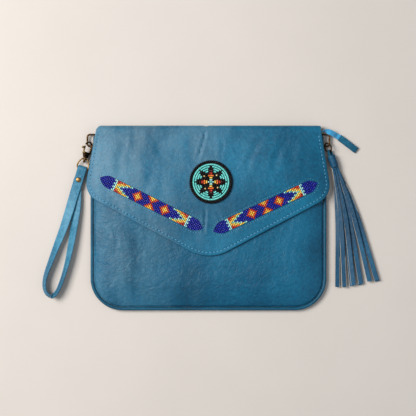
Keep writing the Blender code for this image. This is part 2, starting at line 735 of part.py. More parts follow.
def make_ring_tab(name, sign):
    """Leather folded round the ring's bar, with its tail sewn into the side seam."""
    bore = RING_WIRE + GAP
    outer = bore + TAB_LEATHER
    seam_z = seam_lift(RING_Y) + LEATHER + GAP
    bar = Vector((RING_BAR_X, RING_Z))
    steps = 12
    half_tail = TAB_TAIL_THICKNESS / 2.0
    tail_z = seam_z + half_tail
    meet = math.atan2(tail_z - bar.y, -math.sqrt(outer ** 2 - (tail_z - bar.y) ** 2))
    spread = math.asin(half_tail / outer)
    ring = [bar + outer * Vector((math.cos(a), math.sin(a)))
            for a in spaced(meet + spread, meet - spread + 2 * math.pi, steps)]
    tail_x = RING_BAR_X - TAB_TAIL
    outline = [tuple(p) for p in ring]
    outline += [(tail_x, tail_z + half_tail), (tail_x, tail_z - half_tail)]
    outline = [(sign * x, z) for x, z in outline]
    low, high = RING_Y - TAB_WIDTH / 2, RING_Y + TAB_WIDTH / 2
    body = finish(name, upright(outline, low, high), BLUE_LEATHER)
    hole = [(sign * RING_BAR_X + x, RING_Z + z) for x, z in circle(bore, steps)]
    boolean(body, finish(name + "_hole", upright(hole, low - MM, high + MM), BLUE_LEATHER), "DIFFERENCE")


def make_side_ring(name, sign, parent):
    x0, x1 = sign * RING_BAR_X, sign * (RING_BAR_X + RING_REACH)
    low, high = RING_Y - RING_HALF_HEIGHT, RING_Y + RING_HALF_HEIGHT
    small = 1.5 * MM
    outline = rounded_polygon([(x0, low, small), (x1, low, RING_CORNER), (x1, high, RING_CORNER),
                               (x0, high, small)], 4)
    path = [Vector((x, y, RING_Z)) for x, y in outline]
    finish(name, wire(path, RING_WIRE, (0, 0, 1), closed=True), ANTIQUE_BRASS, parent)


# Swivel hook

BODY_END = CLASP_BODY_TOP - CLASP_BODY_LENGTH
LOOP_TOP = BODY_END - GAP
LOOP_BAR_Y = LOOP_TOP - LOOP_LENGTH
# The clasp hangs on the ring's lower side and leans outwards past the piping
CLASP_CENTRE = Vector((-RING_BAR_X - CLASP_OUT, RING_Y - RING_HALF_HEIGHT - CLASP_DOWN, RING_Z + CLASP_RISE))
CLASP_ANGLE = -lean(-CLASP_CENTRE.x, CLASP_CENTRE.y, -LOOP_BAR_Y, LOOP_CLEARANCE)
SWIVEL_PLACE = Matrix.Translation(CLASP_CENTRE) @ Matrix.Rotation(CLASP_ANGLE, 4, "Z")
CLASP_PLACE = SWIVEL_PLACE @ Matrix.Rotation(CLASP_ROLL, 4, "Y")
# Turns a shape that stands along Z to lie along -Y
ALONG_AXIS = Matrix.Rotation(math.radians(90), 4, "X")


def make_hook(parent):
    """Cast body with the hook that rises from its right shoulder."""
    shoulder = CLASP_BODY_TOP - 1.5 * MM
    arc_y = CLASP_BODY_TOP + HOOK_STRAIGHT
    points = [(HOOK_HALF_WIDTH * 0.8, shoulder), (HOOK_HALF_WIDTH, CLASP_BODY_TOP)]
    points += [(HOOK_HALF_WIDTH * math.cos(a), arc_y + HOOK_HALF_WIDTH * math.sin(a))
               for a in spaced(0.0, math.radians(160), 10)]
    path = [CLASP_PLACE @ Vector((x, y, 0.0)) for x, y in points]
    across = CLASP_PLACE.to_3x3() @ Vector((0, 0, 1))
    wide, narrow = HOOK_HALF_WIDTH + HOOK_WIRE * 0.6, PIN_HEAD_RADIUS + 0.4 * MM
    # The right shoulder is the low one, and stays narrower to clear the table
    outline = rounded_polygon([(narrow, BODY_END, 0.8 * MM), (HOOK_HALF_WIDTH * 0.86, CLASP_BODY_TOP, 1.4 * MM),
                               (-wide, CLASP_BODY_TOP, 1.4 * MM), (-narrow, BODY_END, 0.8 * MM)], 3)
    half = CLASP_BODY_THICKNESS / 2.0
    body = finish("clasp_hook", prism(outline, -half, half, CLASP_PLACE), ANTIQUE_BRASS, parent)
    # The gate turns in a slot that runs through the body's left shoulder
    slot = prism(box_outline(-wide - MM, -HOOK_HALF_WIDTH + 2.4 * MM, CLASP_BODY_TOP - 3.6 * MM, CLASP_BODY_TOP + MM),
                 -0.8 * MM - GAP, 0.8 * MM + GAP, CLASP_PLACE)
    boolean(body, finish("gate_slot", slot, ANTIQUE_BRASS, parent), "DIFFERENCE")
    boolean(body, finish("hook_wire", wire(path, HOOK_WIRE, across, sides=8), ANTIQUE_BRASS, parent), "UNION")
    # The pin is riveted into the body and its ball head keeps the strap loop on
    head_y = LOOP_TOP - BOSS_LENGTH - GAP
    radius = PIN_HEAD_RADIUS
    sink = 1.0 * MM
    profile = [(0.0, sink), (PIN_RADIUS, sink), (PIN_RADIUS, head_y - BODY_END)]
    profile += [(radius * math.sin(a), head_y - BODY_END - radius * 0.8 + radius * math.cos(a) * 0.8)
                for a in spaced(math.radians(45), math.pi, 4)]
    stand = CLASP_PLACE @ Matrix.Translation((0, BODY_END, 0)) @ Matrix.Rotation(math.radians(-90), 4, "X")
    pin = turned(profile, 10, stand)
    boolean(body, finish("swivel_pin", pin, ANTIQUE_BRASS, parent), "UNION")


GATE_PIVOT_LOCAL = Vector((-HOOK_HALF_WIDTH + 0.4 * MM, CLASP_BODY_TOP - 1.6 * MM, 0.0))


def make_gate(parent):
    """Sprung gate from the body to the hook's tip, with its thumb knob outside."""
    tip_y = CLASP_BODY_TOP + HOOK_STRAIGHT + HOOK_HALF_WIDTH * math.sin(math.radians(160)) - HOOK_WIRE - GAP
    x = -HOOK_HALF_WIDTH
    half = 0.8 * MM
    bar = [(x - half, tip_y - 0.3 * MM), (x - half, -0.6 * MM), (x - 3.0 * MM, -0.2 * MM), (x - 3.4 * MM, -1.4 * MM),
           (x - 3.0 * MM, -2.6 * MM), (x - half, -2.4 * MM), (x - half, CLASP_BODY_TOP - 2.4 * MM),
           (x + half * 1.5, CLASP_BODY_TOP - 2.4 * MM), (x + half, CLASP_BODY_TOP), (x + half, tip_y)]
    finish("clasp_gate", prism(bar, -half, half, CLASP_PLACE), BRIGHT_BRASS, parent)


def make_strap_loop(parent):
    """Flat loop that turns on the pin and carries the strap on its far bar."""
    half = STRAP_WIDTH / 2.0 + GAP + LOOP_WIRE
    top = LOOP_TOP - BOSS_LENGTH / 2.0
    corner = 2.0 * MM
    outline = rounded_polygon([(0.9 * BOSS_RADIUS, top, 0.0), (half - 3.4 * MM, top, 1.5 * MM),
                               (half, top - 6.0 * MM, corner), (half, LOOP_BAR_Y, corner),
                               (-half, LOOP_BAR_Y, corner), (-half, top - 6.0 * MM, corner),
                               (-half + 3.4 * MM, top, 1.5 * MM), (-0.9 * BOSS_RADIUS, top, 0.0)], 3)
    path = [SWIVEL_PLACE @ Vector((x, y, 0.0)) for x, y in outline]
    boss_place = (SWIVEL_PLACE @ Matrix.Translation((0, LOOP_TOP - BOSS_LENGTH, 0))
                  @ Matrix.Rotation(math.radians(-90), 4, "X"))
    boss = prism(circle(BOSS_RADIUS, 12), 0.0, BOSS_LENGTH, boss_place)
    body = finish("clasp_loop", boss, ANTIQUE_BRASS, parent)
    boolean(body, finish("loop_wire", wire(path, LOOP_WIRE, (0, 0, 1)), ANTIQUE_BRASS, parent), "UNION")
    bore = prism(circle(PIN_RADIUS + GAP, 10), -MM, BOSS_LENGTH + MM, boss_place)
    boolean(body, finish("loop_bore", bore, ANTIQUE_BRASS, parent), "DIFFERENCE")


# Wrist strap: its middle line's distance from the pouch's side, y and z in mm, and its roll in degrees
BAR_CENTRE = SWIVEL_PLACE @ Vector((0.0, LOOP_BAR_Y, 0.0))
STRAP_DIRECTION = Vector((math.sin(CLASP_ANGLE - STRAP_LEAN), -math.cos(CLASP_ANGLE - STRAP_LEAN), 0.0))
STRAP_LEGS = [(20.9, 22.6, 6.3, 8), (26.6, 3.6, 6.0, 20), (33.1, -15.5, 5.9, 36), (39.8, -32.5, 6.0, 52),
              (46.4, -50.0, 6.0, 66), (52.6, -67.0, 6.0, 80), (54.6, -80.0, 6.0, 88), (52.0, -89.2, 6.0, 90),
              (46.6, -92.4, 6.0, 90), (41.0, -89.4, 6.0, 90), (35.6, -79.0, 6.0, 88), (30.0, -62.0, 6.0, 80),
              (25.4, -44.0, 6.0, 66), (21.6, -24.0, 5.6, 50), (18.6, -4.0, 5.0, 32), (16.6, 13.0, 4.4, 16)]


def strap_layers():
    """Height of the tail, the returning leg and the front leg at the rivet."""
    step = STRAP_THICKNESS + GAP
    tail = RIVET_HEAD + 2 * GAP + STRAP_THICKNESS / 2.0
    return tail, tail + step, tail + 2 * step


def make_strap(parent):
    tail_z, back_z, front_z = strap_layers()
    bend = LOOP_WIRE + 1.5 * GAP + STRAP_THICKNESS / 2.0
    side = Vector((-STRAP_DIRECTION.y, STRAP_DIRECTION.x, 0.0))
    rivet = BAR_CENTRE + STRAP_DIRECTION * RIVET_DROP

    def along(distance, z):
        point = BAR_CENTRE + STRAP_DIRECTION * distance
        return Vector((point.x, point.y, z))

    points = [along(RIVET_DROP + 5.5 * MM, tail_z), along(RIVET_DROP, tail_z),
              along(6.0 * MM, mix(tail_z, BAR_CENTRE.z - bend, 0.6)), along(2.0 * MM, BAR_CENTRE.z - bend)]
    points += [along(-bend * math.sin(a), BAR_CENTRE.z - bend * math.cos(a))
               for a in spaced(0.0, math.pi, 6)]
    points += [along(3.0 * MM, BAR_CENTRE.z + bend), along(7.0 * MM, mix(front_z, BAR_CENTRE.z + bend, 0.3)),
               along(RIVET_DROP, front_z), along(RIVET_DROP + 6.0 * MM, front_z)]
    rolls = [0.0] * len(points)
    headings = [side] * len(points)
    legs = [Vector((-HALF_WIDTH - away * MM, y * MM, z * MM, math.radians(roll)))
            for away, y, z, roll in STRAP_LEGS]
    first = along(RIVET_DROP + 6.0 * MM, front_z).to_4d()
    first.w = 0.0
    last_a = along(RIVET_DROP + 6.0 * MM, back_z).to_4d()
    last_b = along(RIVET_DROP - 3.6 * MM, back_z).to_4d()
    last_a.w = last_b.w = 0.0
    curve = smooth_path([first] + legs + [last_a, last_b], 3)[1:]
    flat = [p.to_3d() for p in curve]
    for point, direction in zip(flat, tangents(flat)):
        heading = Vector((-direction.y, direction.x, 0.0)).normalized()
        headings.append(heading if heading.x > 0 else -heading)
        points.append(point)
    rolls += [p.w for p in curve]
    axes = [h * math.cos(r) + Vector((0, 0, math.sin(r))) for h, r in zip(headings, rolls)]
    strap = finish("wrist_strap", strip(points, [STRAP_WIDTH] * len(points), axes, STRAP_THICKNESS),
                   BLUE_LEATHER, parent)
    place = Matrix.Translation((rivet.x, rivet.y, 0.0))
    hole = prism(circle(RIVET_POST + GAP, 10), -MM, 2 * POUCH_HEIGHT, place)
    boolean(strap, finish("rivet_hole", hole, BLUE_LEATHER, parent), "DIFFERENCE")
    low = tail_z - STRAP_THICKNESS / 2.0 - GAP
    high = front_z + STRAP_THICKNESS / 2.0 + GAP
    profile = [(0.0, low - RIVET_HEAD), (RIVET_RADIUS * 0.8, low - RIVET_HEAD), (RIVET_RADIUS, low),
               (RIVET_POST, low), (RIVET_POST, high), (RIVET_RADIUS, high),
               (RIVET_RADIUS * 0.85, high + RIVET_HEAD * 0.6), (RIVET_RADIUS * 0.45, high + RIVET_HEAD),
               (0.0, high + RIVET_HEAD * 1.1)]
    finish("strap_rivet", turned(profile, 14, place), BRIGHT_BRASS, parent)


# Tassel

LINK_CENTRE = Vector((RING_BAR_X + LINK_OUT, RING_Y - RING_HALF_HEIGHT - LINK_DOWN, RING_Z + LINK_RISE))
TASSEL_ANGLE = lean(LINK_CENTRE.x, LINK_CENTRE.y, CAP_DROP + CAP_LENGTH, CAP_CLEARANCE)
LINK_PLACE = (Matrix.Translation(LINK_CENTRE) @ Matrix.Rotation(TASSEL_ANGLE, 4, "Z")
              @ Matrix.Rotation(TASSEL_ROLL, 4, "Y"))
CAP_TOP = LINK_PLACE @ Vector((0.0, -CAP_DROP, 0.0))
TASSEL_AXIS = (LINK_PLACE.to_3x3() @ Vector((0, -1, 0))).normalized()
CAP_MIDDLE_Z = CAP_RADIUS + GAP


def make_link(parent):
    path = [LINK_PLACE @ Vector((x * LINK_HALF_WIDTH, y * LINK_HALF_LENGTH, 0.0)) for x, y in circle(1.0, 20)]
    across = LINK_PLACE.to_3x3() @ Vector((0, 0, 1))
    finish("tassel_link", wire(path, LINK_WIRE, across, closed=True), ANTIQUE_BRASS, parent)


def make_thong(parent):
    """Short leather loop from the cap round the link."""
    bend = LINK_WIRE + 2.5 * GAP + THONG_THICKNESS / 2.0
    low, mouth = -CAP_DROP - 3.0 * MM, -CAP_DROP + 0.6 * MM
    local = [(low, -bend), (mouth, -bend), (-LINK_HALF_LENGTH - 1.0 * MM, -bend)]
    local += [(-LINK_HALF_LENGTH + bend * math.sin(a), -bend * math.cos(a)) for a in spaced(0.0, math.pi, 8)]
    local += [(-LINK_HALF_LENGTH - 1.0 * MM, bend), (mouth, bend), (low, bend)]
    points = [LINK_PLACE @ Vector((0.0, y, z)) for y, z in local]
    lift = CAP_MIDDLE_Z - CAP_TOP.z
    for i in (0, 1, -2, -1):
        points[i].z += lift
    axis = LINK_PLACE.to_3x3() @ Vector((1, 0, 0))
    finish("tassel_thong", strip(points, [THONG_WIDTH] * len(points), [axis] * len(points), THONG_THICKNESS),
           BLUE_LEATHER, parent)


def cap_place():
    x_axis = TASSEL_AXIS.cross(Vector((0, 0, 1))).normalized()
    return Matrix(((x_axis.x, 0, TASSEL_AXIS.x, CAP_TOP.x), (x_axis.y, 0, TASSEL_AXIS.y, CAP_TOP.y),
                   (0, 1, 0, CAP_MIDDLE_Z), (0, 0, 0, 1)))


def make_cap(parent):
    """Leather band wound round the top of the fringe."""
    inner = CAP_RADIUS - CAP_LEATHER
    sleeve = finish("tassel_cap", prism(circle(CAP_RADIUS, 18), 0.0, CAP_LENGTH, cap_place()),
                    BLUE_LEATHER, parent)
    bore = prism(circle(inner, 18), -MM, CAP_LENGTH + MM, cap_place())
    boolean(sleeve, finish("cap_bore", bore, BLUE_LEATHER, parent), "DIFFERENCE")


def strand_path(share, layer, layers):
    """Middle line of one strand, from under the cap to its end on the table."""
    root = CAP_TOP + TASSEL_AXIS * (CAP_LENGTH - 2.0 * MM)
    side = Vector((-TASSEL_AXIS.y, TASSEL_AXIS.x, 0.0))
    root = Vector((root.x, root.y, 0.0)) + side * ((share - 0.5) * 1.1 * CAP_RADIUS)
    end = Vector((HALF_WIDTH + mix(TASSEL_NEAR, TASSEL_FAR, share), TASSEL_END_Y + TASSEL_END_RISE * share ** 2, 0.0))
    fan = (end - root).normalized()
    first = root + TASSEL_AXIS * 9.0 * MM * (1 - 0.6 * share) + fan * 6.0 * MM
    bow = Vector((1.0, 0.25, 0.0)) * mix(6.0, 1.5, share) * MM
    middle = root.lerp(end, 0.45) + bow
    path = smooth_path([root, first, middle, end], 3)
    step = STRAND_THICKNESS + GAP
    low = GAP + STRAND_THICKNESS / 2.0 + layer * step
    high = CAP_MIDDLE_Z + (layer - (layers - 1) / 2.0) * (step + 0.3 * MM)
    for i, point in enumerate(path):
        point.z = mix(high, low, smooth(i / 5.0))
    return path


def make_fringe(parent):
    """One leather strip, rolled up under the cap and cut into strands below it."""
    roll_top = 3.0 * MM + 2 * GAP
    roll = finish("tassel_fringe",
                  prism(circle(CAP_RADIUS - CAP_LEATHER - GAP, 18), roll_top, CAP_LENGTH - GAP, cap_place()),
                  BLUE_LEATHER, parent)
    layers = len(STRAND_LAYERS)
    strands = bpy.data.collections.new("strands")
    bpy.context.scene.collection.children.link(strands)
    for layer, count in enumerate(STRAND_LAYERS):
        paths = [strand_path((i + 0.5) / count, layer, layers) for i in range(count)]
        for number, path in enumerate(paths):
            other = paths[1] if number == 0 else paths[number - 1]
            widths = [min(STRAND_WIDTH, (a - b).to_2d().length * 0.93 - GAP) for a, b in zip(path, other)]
            axes = [Vector((-t.y, t.x, 0.0)) for t in tangents(path)]
            strand = finish("strand_%d_%d" % (layer, number), strip(path, widths, axes, STRAND_THICKNESS),
                            BLUE_LEATHER, parent, rounded=False)
            strand.hide_render = True
            strand.display_type = "WIRE"
            bpy.context.scene.collection.objects.unlink(strand)
            strands.objects.link(strand)
    join = roll.modifiers.new("strands", "BOOLEAN")
    join.operand_type = "COLLECTION"
    join.collection = strands
    join.operation = "UNION"
    join.solver = "EXACT"


# Flap

def flap_outline(inset=0.0, top_y=HINGE_Y - GAP / 2):
    """Envelope outline: sides that flare, round shoulders and a blunt point."""
    shoulder = Vector((HALF_WIDTH + FLAP_FLARE, FLAP_SIDE_CORNER_Y))
    top = Vector((TOP_HALF_WIDTH + FLAP_TOP_SPARE, HINGE_Y))
    tip = Vector((0.0, FLAP_TIP_Y))
    flare = (shoulder - top).normalized()
    edge = (tip - shoulder).normalized()

    def pushed(point, direction):
        return point + Vector((direction.y, -direction.x)) * inset

    def crossing(p, d, q, e):
        away = q - p
        return p + d * ((away.x * e.y - away.y * e.x) / (d.x * e.y - d.y * e.x))

    side_point, edge_point = pushed(top, flare), pushed(shoulder, edge)
    start = crossing(side_point, flare, Vector((0.0, top_y)), Vector((1.0, 0.0)))
    corner = crossing(side_point, flare, edge_point, edge)
    point = crossing(edge_point, edge, Vector((0.0, 0.0)), Vector((0.0, 1.0)))
    return rounded_polygon([(start.x, start.y, 0.0), (corner.x, corner.y, FLAP_SIDE_RADIUS - inset),
                            (point.x, point.y, FLAP_TIP_RADIUS - inset),
                            (-corner.x, corner.y, FLAP_SIDE_RADIUS - inset), (-start.x, start.y, 0.0)], 7)


def flap_top(x, y):
    return flap_lower(x, y) + LEATHER


def band_place(sign):
    return Matrix.Translation((sign * BAND_X, BAND_Y, 0.0)) @ Matrix.Rotation(sign * BAND_ANGLE, 4, "Z")


def band_outline(spare=0.0):
    """Band with a pointed arch at each end."""
    half, reach = BAND_HALF_WIDTH + spare, BAND_HALF_LENGTH + spare
    quarter = [(mix(reach - BAND_TIP_LENGTH, reach, t), half * (1.0 - t ** 1.8)) for t in spaced(0.0, 1.0, 5)]
    right = quarter + [(x, -y) for x, y in reversed(quarter[:-1])]
    return right + [(-x, y) for x, y in reversed(right) if abs(x) < reach - 1e-9 or y == 0.0]


def make_flap(parent):
    xs, ys = grid(FLAP_TIP_Y, HINGE_Y, FACET)
    flap = finish("flap", sheet([flap_outline()], flap_lower, LEATHER, xs, ys), BLUE_LEATHER, parent)
    for sign, label in ((-1, "left"), (1, "right")):
        window = prism(band_outline(GAP), 0.0, 2 * POUCH_HEIGHT, band_place(sign))
        boolean(flap, finish("window_" + label, window, BLUE_LEATHER, parent), "DIFFERENCE")
    xs, ys = grid(FLAP_TIP_Y, HINGE_Y, 1.5 * FACET)
    outline = flap_outline(FLAP_LINING_INSET, HINGE_Y - FLAP_LINING_DROP)
    finish("flap_lining", sheet([outline], lambda x, y: flap_lower(x, y) - SHEET_GAP - FLAP_LINING,
                                FLAP_LINING, xs, ys), LINING_CLOTH, parent)


# Beadwork

def on_flap(x, y):
    return flap_top(x, y) + GAP


def make_medallion(parent):
    place = Matrix.Translation((MEDALLION_X, MEDALLION_Y, 0.0))
    backing = sheet([circle(MEDALLION_RADIUS - 0.5 * MM, 28)], on_flap, BACKING_THICKNESS,
                    xs=(-8 * MM, 8 * MM), ys=(-8 * MM, 8 * MM), place=place)
    finish("medallion_backing", backing, BLACK, parent)
    rings = int(MEDALLION_RADIUS / (2 * BEAD_RING_PITCH))
    profile = [(0.0, FIELD_THICKNESS + BEAD_RIDGE)]
    for i in range(1, 2 * rings + 1):
        profile.append((i * MEDALLION_RADIUS / (2 * rings),
                        FIELD_THICKNESS + (BEAD_RIDGE if i % 2 == 0 else -BEAD_RIDGE)))
    profile += [(MEDALLION_RADIUS, 0.0), (0.0, 0.0)]
    field = turned(profile, 28, place)
    for v in field.verts:
        v.co.z += on_flap(v.co.x, v.co.y) + BACKING_THICKNESS + GAP
    finish("medallion_field", field, TURQUOISE, parent)
    radius = MEDALLION_RADIUS + GAP + BORDER_RADIUS
    path = [place @ Vector((x, y, 0.0)) for x, y in circle(radius, 36)]
    for point in path:
        point.z = on_flap(point.x, point.y) + BORDER_RADIUS
    finish("medallion_border", wire(path, BORDER_RADIUS, (0, 0, 1), closed=True), BLACK, parent)


def star_outline(share):
    points = []
    for i in range(16):
        angle = math.pi * i / 8.0
        reach = STAR_VALLEY if i % 2 else (STAR_TIP if i % 4 == 0 else STAR_SMALL_TIP)
        points.append((share * reach * math.cos(angle), share * reach * math.sin(angle)))
    return points


def star_seat(x, y):
    return on_flap(x, y) + BACKING_THICKNESS + FIELD_THICKNESS + BEAD_RIDGE + 2 * GAP


def make_star(parent):
    """Nested eight-pointed rings of colour round a pale middle."""
    place = Matrix.Translation((MEDALLION_X, MEDALLION_Y, 0.0))
    colours = (BLACK, RED, ORANGE, YELLOW, WHITE)
    names = ("star_black", "star_red", "star_orange", "star_yellow", "star_middle")
    for i, (name, colour) in enumerate(zip(names, colours)):
        outer = STAR_SHARES[i] - (0.0 if i == 0 else 0.035)
        finish_ring(name, star_outline(outer),
                    star_outline(STAR_SHARES[i + 1]) if i + 1 < len(STAR_SHARES) else None,
                    place, colour, parent)


def seated(shape, line, lift, place):
    """Points of a flat line, set on the beads that carry the figures."""
    found = []
    for x, y in line:
        spot = place @ Vector((x, y, 0.0))
        spot.z = artwork_seat(spot.x, spot.y) + lift
        found.append(shape.verts.new(spot))
    return found


def stripe_sheet(first, second, place, closed=False):
    """Flat stripe between two lines with the same number of points, or a ring between two closed ones."""
    shape = bmesh.new()
    levels = [[seated(shape, line, lift, place) for line in (first, second)] for lift in (0.0, ARTWORK_THICKNESS)]
    low, high = levels
    for i in range(len(first) if closed else len(first) - 1):
        j = (i + 1) % len(first)
        for level in levels:
            shape.faces.new((level[0][i], level[0][j], level[1][j], level[1][i]))
        for side in (0, 1):
            shape.faces.new((low[side][i], low[side][j], high[side][j], high[side][i]))
    if not closed:
        for end in (0, -1):
            shape.faces.new((low[0][end], low[1][end], high[1][end], high[0][end]))
    return shape


def fan_sheet(outline, place):
    """Flat sheet of triangles round its middle, for an outline with notches."""
    shape = bmesh.new()
    low, high = [seated(shape, outline + [(0.0, 0.0)], lift, place) for lift in (0.0, ARTWORK_THICKNESS)]
    for i in range(len(outline)):
        j = (i + 1) % len(outline)
        for level in (low, high):
            shape.faces.new((level[i], level[j], level[-1]))
        shape.faces.new((low[i], low[j], high[j], high[i]))
    return shape


def artwork_seat(x, y):
    """Height of the beads that carry the figures of the medallion or of a band."""
    if math.hypot(x - MEDALLION_X, y - MEDALLION_Y) < MEDALLION_RADIUS:
        return star_seat(x, y)
    return flap_lower(x, y) + BAND_THICKNESS + BEAD_RIDGE + GAP


def finish_ring(name, outer, inner, place, colour, parent):
    shape = stripe_sheet(outer, inner, place, closed=True) if inner else fan_sheet(outer, place)
    finish(name, shape, colour, parent, rounded=False)


def rhombus(reach):
    return [(reach, 0.0), (0.0, reach), (-reach, 0.0), (0.0, -reach)]


def chevron(sign):
    """Two edges of the V-shaped stripe that springs from one bar of the band."""
    low, high = BEAD_PITCH / 2.0 + GAP, 3.0 * BEAD_PITCH
    edge, blunt = BAND_HALF_WIDTH - GAP, BEAD_PITCH / 2.0
    slant = CHEVRON_SLOPE * (edge - blunt)
    lines = [[(start + slant, edge), (start, blunt), (start, -blunt), (start + slant, -edge)]
             for start in (low, high)]
    return [[(sign * (BAND_BAR - x), y) for x, y in line] for line in lines]


def hourglass():
    """Left and right edges of two triangles that meet in the middle of the band."""
    edge, reach, neck = BAND_HALF_WIDTH - GAP, 3.5 * BEAD_PITCH, BEAD_PITCH / 2.0
    return [[(side * reach, edge), (side * neck, 0.0), (side * reach, -edge)] for side in (-1, 1)]


def make_figures(label, place, parent):
    """Simple fields of colour that stand for the woven figures of one band."""
    edge, half_bar = BAND_HALF_WIDTH - GAP, BEAD_PITCH / 2.0
    diamond, hole = rhombus(3.5 * BEAD_PITCH), rhombus(1.5 * BEAD_PITCH)
    core = rhombus(1.5 * BEAD_PITCH - 1.5 * GAP)
    for sign, end in ((-1, "outer" if label == "left" else "inner"), (1, "inner" if label == "left" else "outer")):
        name = "band_" + label + "_" + end
        spot = place @ Matrix.Translation((sign * DIAMOND_OFFSET, 0.0, 0.0))
        finish(name + "_diamond", stripe_sheet(diamond, hole, spot, closed=True), RED, parent, rounded=False)
        finish(name + "_core", fan_sheet(core, spot), YELLOW, parent, rounded=False)
        finish(name + "_chevron", stripe_sheet(*chevron(sign), place), ORANGE, parent, rounded=False)
        bar = [[(sign * BAND_BAR + half, side * edge) for side in (-1, 1)] for half in (-half_bar, half_bar)]
        finish(name + "_bar", stripe_sheet(*bar, place), WHITE, parent, rounded=False)
    finish("band_" + label + "_hourglass", stripe_sheet(*hourglass(), place), ORANGE, parent, rounded=False)


def make_bands(parent):
    rows = int(2 * BAND_HALF_WIDTH / BEAD_PITCH)
    lines = [-BAND_HALF_WIDTH + i * BEAD_PITCH / 2.0 for i in range(1, 2 * rows)]

    def ridged(u, v):
        row = round((v + BAND_HALF_WIDTH) / (BEAD_PITCH / 2.0))
        return BAND_THICKNESS + (BEAD_RIDGE if row % 2 else -BEAD_RIDGE)

    for sign, label in ((-1, "left"), (1, "right")):
        place = band_place(sign)
        field = sheet([band_outline()], flap_lower, ridged, xs=spaced(-BAND_BAR, BAND_BAR, 4),
                      ys=lines, place=place)
        finish("band_" + label + "_field", field, COBALT, parent)
        make_figures(label, place, parent)


# Assembly

make_panels()
make_linings()
make_piping()
make_fold()
make_tapes()
make_teeth()
make_bottom_stop()
make_tail()
make_end_tab()
make_ring_tab("left_ring_tab", -1)
make_ring_tab("right_ring_tab", 1)

flap_pivot = pivot("flap_pivot", (0.0, HINGE_Y, FOLD_RADIUS))
make_flap(flap_pivot)
make_medallion(flap_pivot)
make_star(flap_pivot)
make_bands(flap_pivot)

slider_pivot = pivot("slider_pivot", (SLIDER_X, CHAIN_Y, CHAIN_MIDDLE_Z))
pull_pivot = pivot("pull_pivot", PULL_AXIS, slider_pivot)
make_slider(slider_pivot)
make_pull(pull_pivot)

left_ring_pivot = pivot("left_ring_pivot", (-RING_BAR_X, RING_Y, RING_Z))
right_ring_pivot = pivot("right_ring_pivot", (RING_BAR_X, RING_Y, RING_Z))
make_side_ring("left_side_ring", -1, left_ring_pivot)
make_side_ring("right_side_ring", 1, right_ring_pivot)

clasp_pivot = pivot("clasp_pivot", CLASP_PLACE @ Vector((0.0, HOOK_STRAIGHT / 2.0, 0.0)), left_ring_pivot)
gate_pivot = pivot("gate_pivot", CLASP_PLACE @ GATE_PIVOT_LOCAL, clasp_pivot)
loop_pivot = pivot("loop_pivot", SWIVEL_PLACE @ Vector((0.0, LOOP_TOP, 0.0)), clasp_pivot)
strap_pivot = pivot("strap_pivot", BAR_CENTRE, loop_pivot)
make_hook(clasp_pivot)
make_gate(gate_pivot)
make_strap_loop(loop_pivot)
make_strap(strap_pivot)

link_pivot = pivot("link_pivot", LINK_PLACE @ Vector((0.0, LINK_HALF_LENGTH, 0.0)), right_ring_pivot)
tassel_pivot = pivot("tassel_pivot", LINK_PLACE @ Vector((0.0, -LINK_HALF_LENGTH, 0.0)), link_pivot)
make_link(link_pivot)
make_thong(tassel_pivot)
make_cap(tassel_pivot)
make_fringe(tassel_pivot)
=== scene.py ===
# Beaded crossbody bag: a teal-blue leather pouch with a beaded envelope flap, lying on its back

import math

import bmesh
import bpy
import numpy as np
from mathutils import Matrix, Vector, noise


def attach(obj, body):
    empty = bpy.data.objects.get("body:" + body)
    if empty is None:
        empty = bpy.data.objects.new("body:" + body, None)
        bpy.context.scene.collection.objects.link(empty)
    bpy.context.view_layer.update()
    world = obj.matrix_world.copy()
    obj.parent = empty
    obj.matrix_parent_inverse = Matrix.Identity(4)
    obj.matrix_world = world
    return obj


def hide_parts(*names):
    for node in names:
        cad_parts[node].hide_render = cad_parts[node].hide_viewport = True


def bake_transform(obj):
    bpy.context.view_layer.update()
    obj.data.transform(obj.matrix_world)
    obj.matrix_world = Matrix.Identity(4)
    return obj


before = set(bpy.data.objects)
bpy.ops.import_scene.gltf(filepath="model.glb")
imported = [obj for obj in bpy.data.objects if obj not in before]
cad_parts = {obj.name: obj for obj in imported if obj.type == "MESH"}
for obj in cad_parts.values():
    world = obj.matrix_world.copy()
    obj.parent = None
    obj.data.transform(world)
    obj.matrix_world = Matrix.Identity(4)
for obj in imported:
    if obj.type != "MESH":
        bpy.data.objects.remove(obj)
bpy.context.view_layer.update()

# Camera: straight above the table, looking down on the bag, which lies a little
# left of and below the middle of the view.

camera = bpy.data.objects.new("camera", bpy.data.cameras.new("camera"))
camera.data.sensor_width = 36.0
camera.data.lens = 101.8
camera.location = (-0.0006, 0.0119, 1.40)
bpy.context.collection.objects.link(camera)
bpy.context.scene.camera = camera
bpy.context.scene.view_settings.view_transform = "Standard"

# Floor and light: warm pale paper laid on the table, lit by a broad window on the
# left and a weak fill on the right.


def dye(code):
    """Linear colour of a six-digit hex code."""
    shades = [int(code[i:i + 2], 16) / 255.0 for i in (0, 2, 4)]
    return tuple(s / 12.92 if s <= 0.04045 else ((s + 0.055) / 1.055) ** 2.4 for s in shades) + (1.0,)


